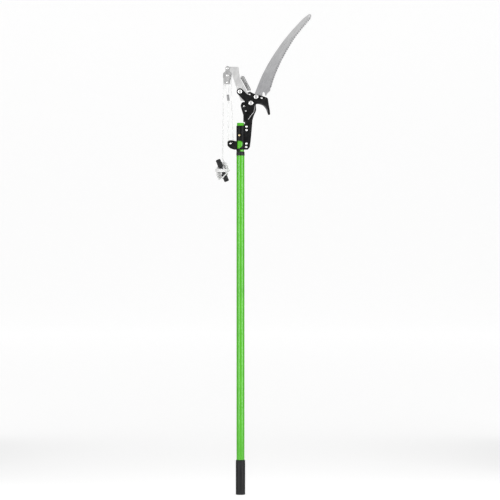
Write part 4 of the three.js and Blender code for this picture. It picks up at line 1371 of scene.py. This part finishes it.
# %% Pulleys
def pulley(name, centre, pitch, rim, half, bore):
    floor, lip = pitch - 1.9, 2.35
    groove_line = [(floor + (rim - 0.25 - floor) * (1 - math.cos(a)), lip * math.sin(a))
                   for a in np.linspace(-math.pi / 2, math.pi / 2, 15)]
    dished = half - 0.7
    profile = [(bore, -half), (bore + 2, -half), (bore + 2.4, -dished), (rim - 3.4, -dished),
               (rim - 3, -half), (rim - 0.5, -half), (rim, -half + 0.3), *groove_line,
               (rim, half - 0.3), (rim - 0.5, half), (rim - 3, half), (rim - 3.4, dished),
               (bore + 2.4, dished), (bore + 2, half), (bore, half), (bore, -half)]
    return turned(name, [(float(r), float(y)) for r, y in profile], centre, facets=64)


TOP_BEND, LOWER_BEND = 12.8, 8  # the radius that the middle of the cord runs on
top_pulley = pulley("made_top_pulley", BLOCK_AXLE, TOP_BEND, 14.5, 3.1, RIVET_HOLE)
lower_pulley = pulley("made_lower_pulley", EAR_AXLE, LOWER_BEND, 9.8, 3.1, RIVET_HOLE)
dress(top_pulley, nylon, "top_pulley", "grey_plastic", "top_pulley")
dress(lower_pulley, nylon, "lower_pulley", "grey_plastic", "lower_pulley")
print("pulleys made")

# %% [markdown]
# ## Tackle cord
#
# The same braided cord runs from the loop on the block down round the lower pulley, back up and
# over the top pulley, and down to the handle. Where it lies on a pulley it keeps its shape.

# %% Cord on the pulleys
def bight(centre, radius, start, end, steps=40):
    angles = np.radians(np.linspace(start, end, steps + 1))
    return [(centre[0] + radius * math.cos(a), 0, centre[1] + radius * math.sin(a)) for a in angles]


over = tube("cord_over_pulley", bight(BLOCK_AXLE, TOP_BEND, 0, 180), CORD, 16)
under = tube("cord_under_pulley", bight(EAR_AXLE, LOWER_BEND, 180, 360), CORD, 16)
becket = tube("cord_loop", through([
    (-46.3, 0, 1400.9), (-49.2, 0, 1409), (-52.6, 0, 1421), (-53.2, 0, 1438.5), (-49.6, 0, 1446.7),
    (-43.6, 0, 1446.7), (-40.2, 0, 1438.5), (-40, 0, 1423), (-41.2, 0, 1410),
    (-41.7, 0, 1400.9)], 1.5), CORD, 16)
dress(over, white_cord, "block", "rope", "rope_over")
dress(under, white_cord, "head", "rope", "rope_under")
dress(becket, white_cord, "block", "rope", "becket_loop")
print("cord on pulleys")

# %% [markdown]
# The two straight strands shorten as the block comes down.

# %% Straight strands
standing = tube("cord_standing", through([(-42.5, 0, 1228.8), (-42.5, 0, 1260), (-42.5, 0, 1300),
                                          (-42.3, 0, 1345), (-42.1, 0, 1377.1)], 3), CORD, 16)
hauling = tube("cord_hauling", through([(-26.5, 0, 1228.8), (-28.2, 0, 1290), (-29.9, 0, 1348),
                                        (-31.6, 0, 1408), (-33.2, 0, 1465.9)], 3), CORD, 16)
for strand, node, share_left in ((standing, "rope_standing", 0.13),
                                 (hauling, "rope_hauling", 0.37)):
    dress(strand, white_cord, "tackle", "rope", node)
    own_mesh(strand)
print("strands made")

# %% [markdown]
# The loop is closed by a crimped alloy sleeve. The press leaves four flats in it, one above the
# other, and the two legs of the cord swell a little on each side of it.

# %% Ferrule
def crimped(name, centre, half, wide, deep, tilt, facets=48, rows=60):
    vertices = []
    for row in range(rows + 1):
        t = -1 + 2 * row / rows
        end = min(1.0, (1 - abs(t)) * half / 0.6)
        rim = 0.86 + 0.14 * math.sqrt(max(0.0, 1 - (1 - end) ** 2))
        dent = 0.5 - 0.5 * math.cos(2 * math.pi * 4 * (row / rows))
        for k in range(facets):
            angle = 2 * math.pi * k / facets
            x = wide * rim * (1 - 0.03 * dent) * math.cos(angle)
            y = deep * rim * (1 - 0.10 * dent) * math.sin(angle)
            vertices.append(Vector((x, y, t * half)) * MM)
    faces = grid_faces(rows + 1, facets)
    faces += [tuple(range(facets)), tuple(range(rows * facets, (rows + 1) * facets))]
    piece = finished(name, vertices, faces, 40)
    piece.data.transform(Matrix.Translation(mm(*centre)) @ Matrix.Rotation(tilt, 4, "Y"))
    return piece


ferrule = crimped("crimp_sleeve", (-43.1, 0, 1388.75), 10.75, 4.4, 2.9, -0.12)
dress(ferrule, crimp_metal, "block", "crimp_alloy", "ferrule")
print("ferrule", len(ferrule.data.polygons), "faces")

# %% [markdown]
# ## Pull handle
#
# A moulded black grip with a narrow waist at its middle. The cord is wound round the waist, so its
# two thick halves keep the winding in place. Each end carries three fine moulded rings.

# %% Pull handle
def ringed(low, high, radius, count=3):
    line = []
    for k in range(count):
        at = low + (high - low) * (k + 0.5) / count
        line += [(radius, at - 0.75), (radius - 0.3, at - 0.4), (radius - 0.3, at + 0.4),
                 (radius, at + 0.75)]
    return line


handle = turned("pull_grip", [
    (0, -41.7), (4.6, -41.5), *arc((4.9, -37.9), 3.7, -78, 0), *ringed(-37, -29, 8.6),
    (8.6, -27), (8.6, -14), (8.4, -13), (7.6, -12.3), (6.2, -11.4), (5.5, -10), (5.4, -9),
    (5.4, 9), (5.5, 10), (6.2, 11.4), (7.6, 12.3), (8.4, 13), (8.6, 14), (8.6, 27),
    *ringed(29, 37, 8.6), *arc((4.9, 37.9), 3.7, 0, 78), (4.6, 41.5), (0, 41.7)],
    upright=True, facets=64)
handle.data.transform(Matrix.Translation(mm(-63.4, 0, 1134))
                      @ Matrix.Rotation(math.radians(-22.7), 4, "Y"))
dress(handle, handle_plastic, "handle", "black_plastic", "pull_handle")
print("handle", len(handle.data.polygons), "faces")

# %% [markdown]
# ## Room
#
# The pole stands in the middle of a round white floor that curves up into a white wall, so it
# can be seen from every side. The paper glows a little, the far half more than the near one, as if
# it were lit from behind.

# %% Floor and backdrop
def studio_bowl(floor=17.0, turn=3.5, top=14.0, facets=96):
    line = [(0.0, 0.0), (1.5, 0.0), (4.0, 0.0), (floor, 0.0)]
    line += [(floor + turn * math.sin(a), turn * (1 - math.cos(a)))
             for a in np.linspace(0, math.pi / 2, 16)[1:]]
    line += [(floor + turn, top)]
    vertices = [(r * math.cos(2 * math.pi * k / facets), r * math.sin(2 * math.pi * k / facets),
                 z - 0.0004) for r, z in line for k in range(facets)]
    return finished("backdrop", vertices, grid_faces(len(line), facets), 60)


backdrop = studio_bowl()
backdrop.data.flip_normals()
paper, tree, shader = new_finish("white_paper", Roughness=0.9, Specular_IOR_Level=0.1)
shader.inputs["Base Color"].default_value = (0.4, 0.4, 0.4, 1)
shader.inputs["Emission Color"].default_value = (1, 1, 1, 1)
place = add_node(tree, "ShaderNodeTexCoord")
depth = add_node(tree, "ShaderNodeSeparateXYZ", {0: place.outputs["Object"]})
wire(tree, shader, Emission_Strength=remap(tree, depth.outputs[1], -4.0, -0.4, 0.34, 0.66))
backdrop.data.materials.append(paper)
print("backdrop", len(backdrop.data.polygons), "faces")

# %% [markdown]
# Tall soft lights on both sides draw the two long highlights on the tube, and a big one overhead
# fills the blades.

# %% Lights
LIT = Vector((0, 0, 1.0))


def soft_light(name, place, size, power):
    """A rectangle of light in metres and watts, turned towards the middle of the pole."""
    lamp = bpy.data.lights.new(name, "AREA")
    lamp.shape, (lamp.size, lamp.size_y), lamp.energy = "RECTANGLE", size, power
    light = placed(name, lamp)
    light.location = place
    light.rotation_euler = (LIT - Vector(place)).to_track_quat("-Z", "Y").to_euler()


soft_light("left_strip", (-1.9, -2.2, 1.3), (1.4, 2.6), 58)
soft_light("right_strip", (2.1, -1.7, 1.3), (1.4, 2.6), 58)
soft_light("overhead", (0.2, -1.6, 4.2), (2.4, 1.6), 16)
print("lights ready")

# %% [markdown]
# A black panel on each side keeps the long edges of the tube dark against the white. The camera
# doesn't see the panels themselves.

# %% Black panels
def flag(name, x):
    """A black panel beside the tool, out of the picture, that keeps the tube's edges dark."""
    corners = [(x, 0.3, 0), (x, 2.6, 0), (x, 2.6, 2.4), (x, 0.3, 2.4)]
    mesh = bpy.data.meshes.new(name)
    mesh.from_pydata(corners, [], [(0, 1, 2, 3)])
    panel = placed(name, mesh)
    panel.data.materials.append(felt)
    panel.visible_camera = False


felt, _, felt_body = new_finish("black_felt", Roughness=1.0, Specular_IOR_Level=0.0)
felt_body.inputs["Base Color"].default_value = (0.01, 0.01, 0.01, 1)
flag("left_flag", -1.35)
flag("right_flag", 1.4)
print("panels ready")

# %% [markdown]
# An even white world keeps the shadows open. The colours are shown as they are, without a film
# curve, so that the white paper stays white.

# %% World
world = bpy.data.worlds.new("white room")
bpy.context.scene.world = world
world.use_nodes = True
sky = world.node_tree.nodes["Background"]
sky.inputs["Color"].default_value = (1, 1, 1, 1)
sky.inputs["Strength"].default_value = 0.62
bpy.context.scene.view_settings.view_transform = "Standard"
print("world ready")
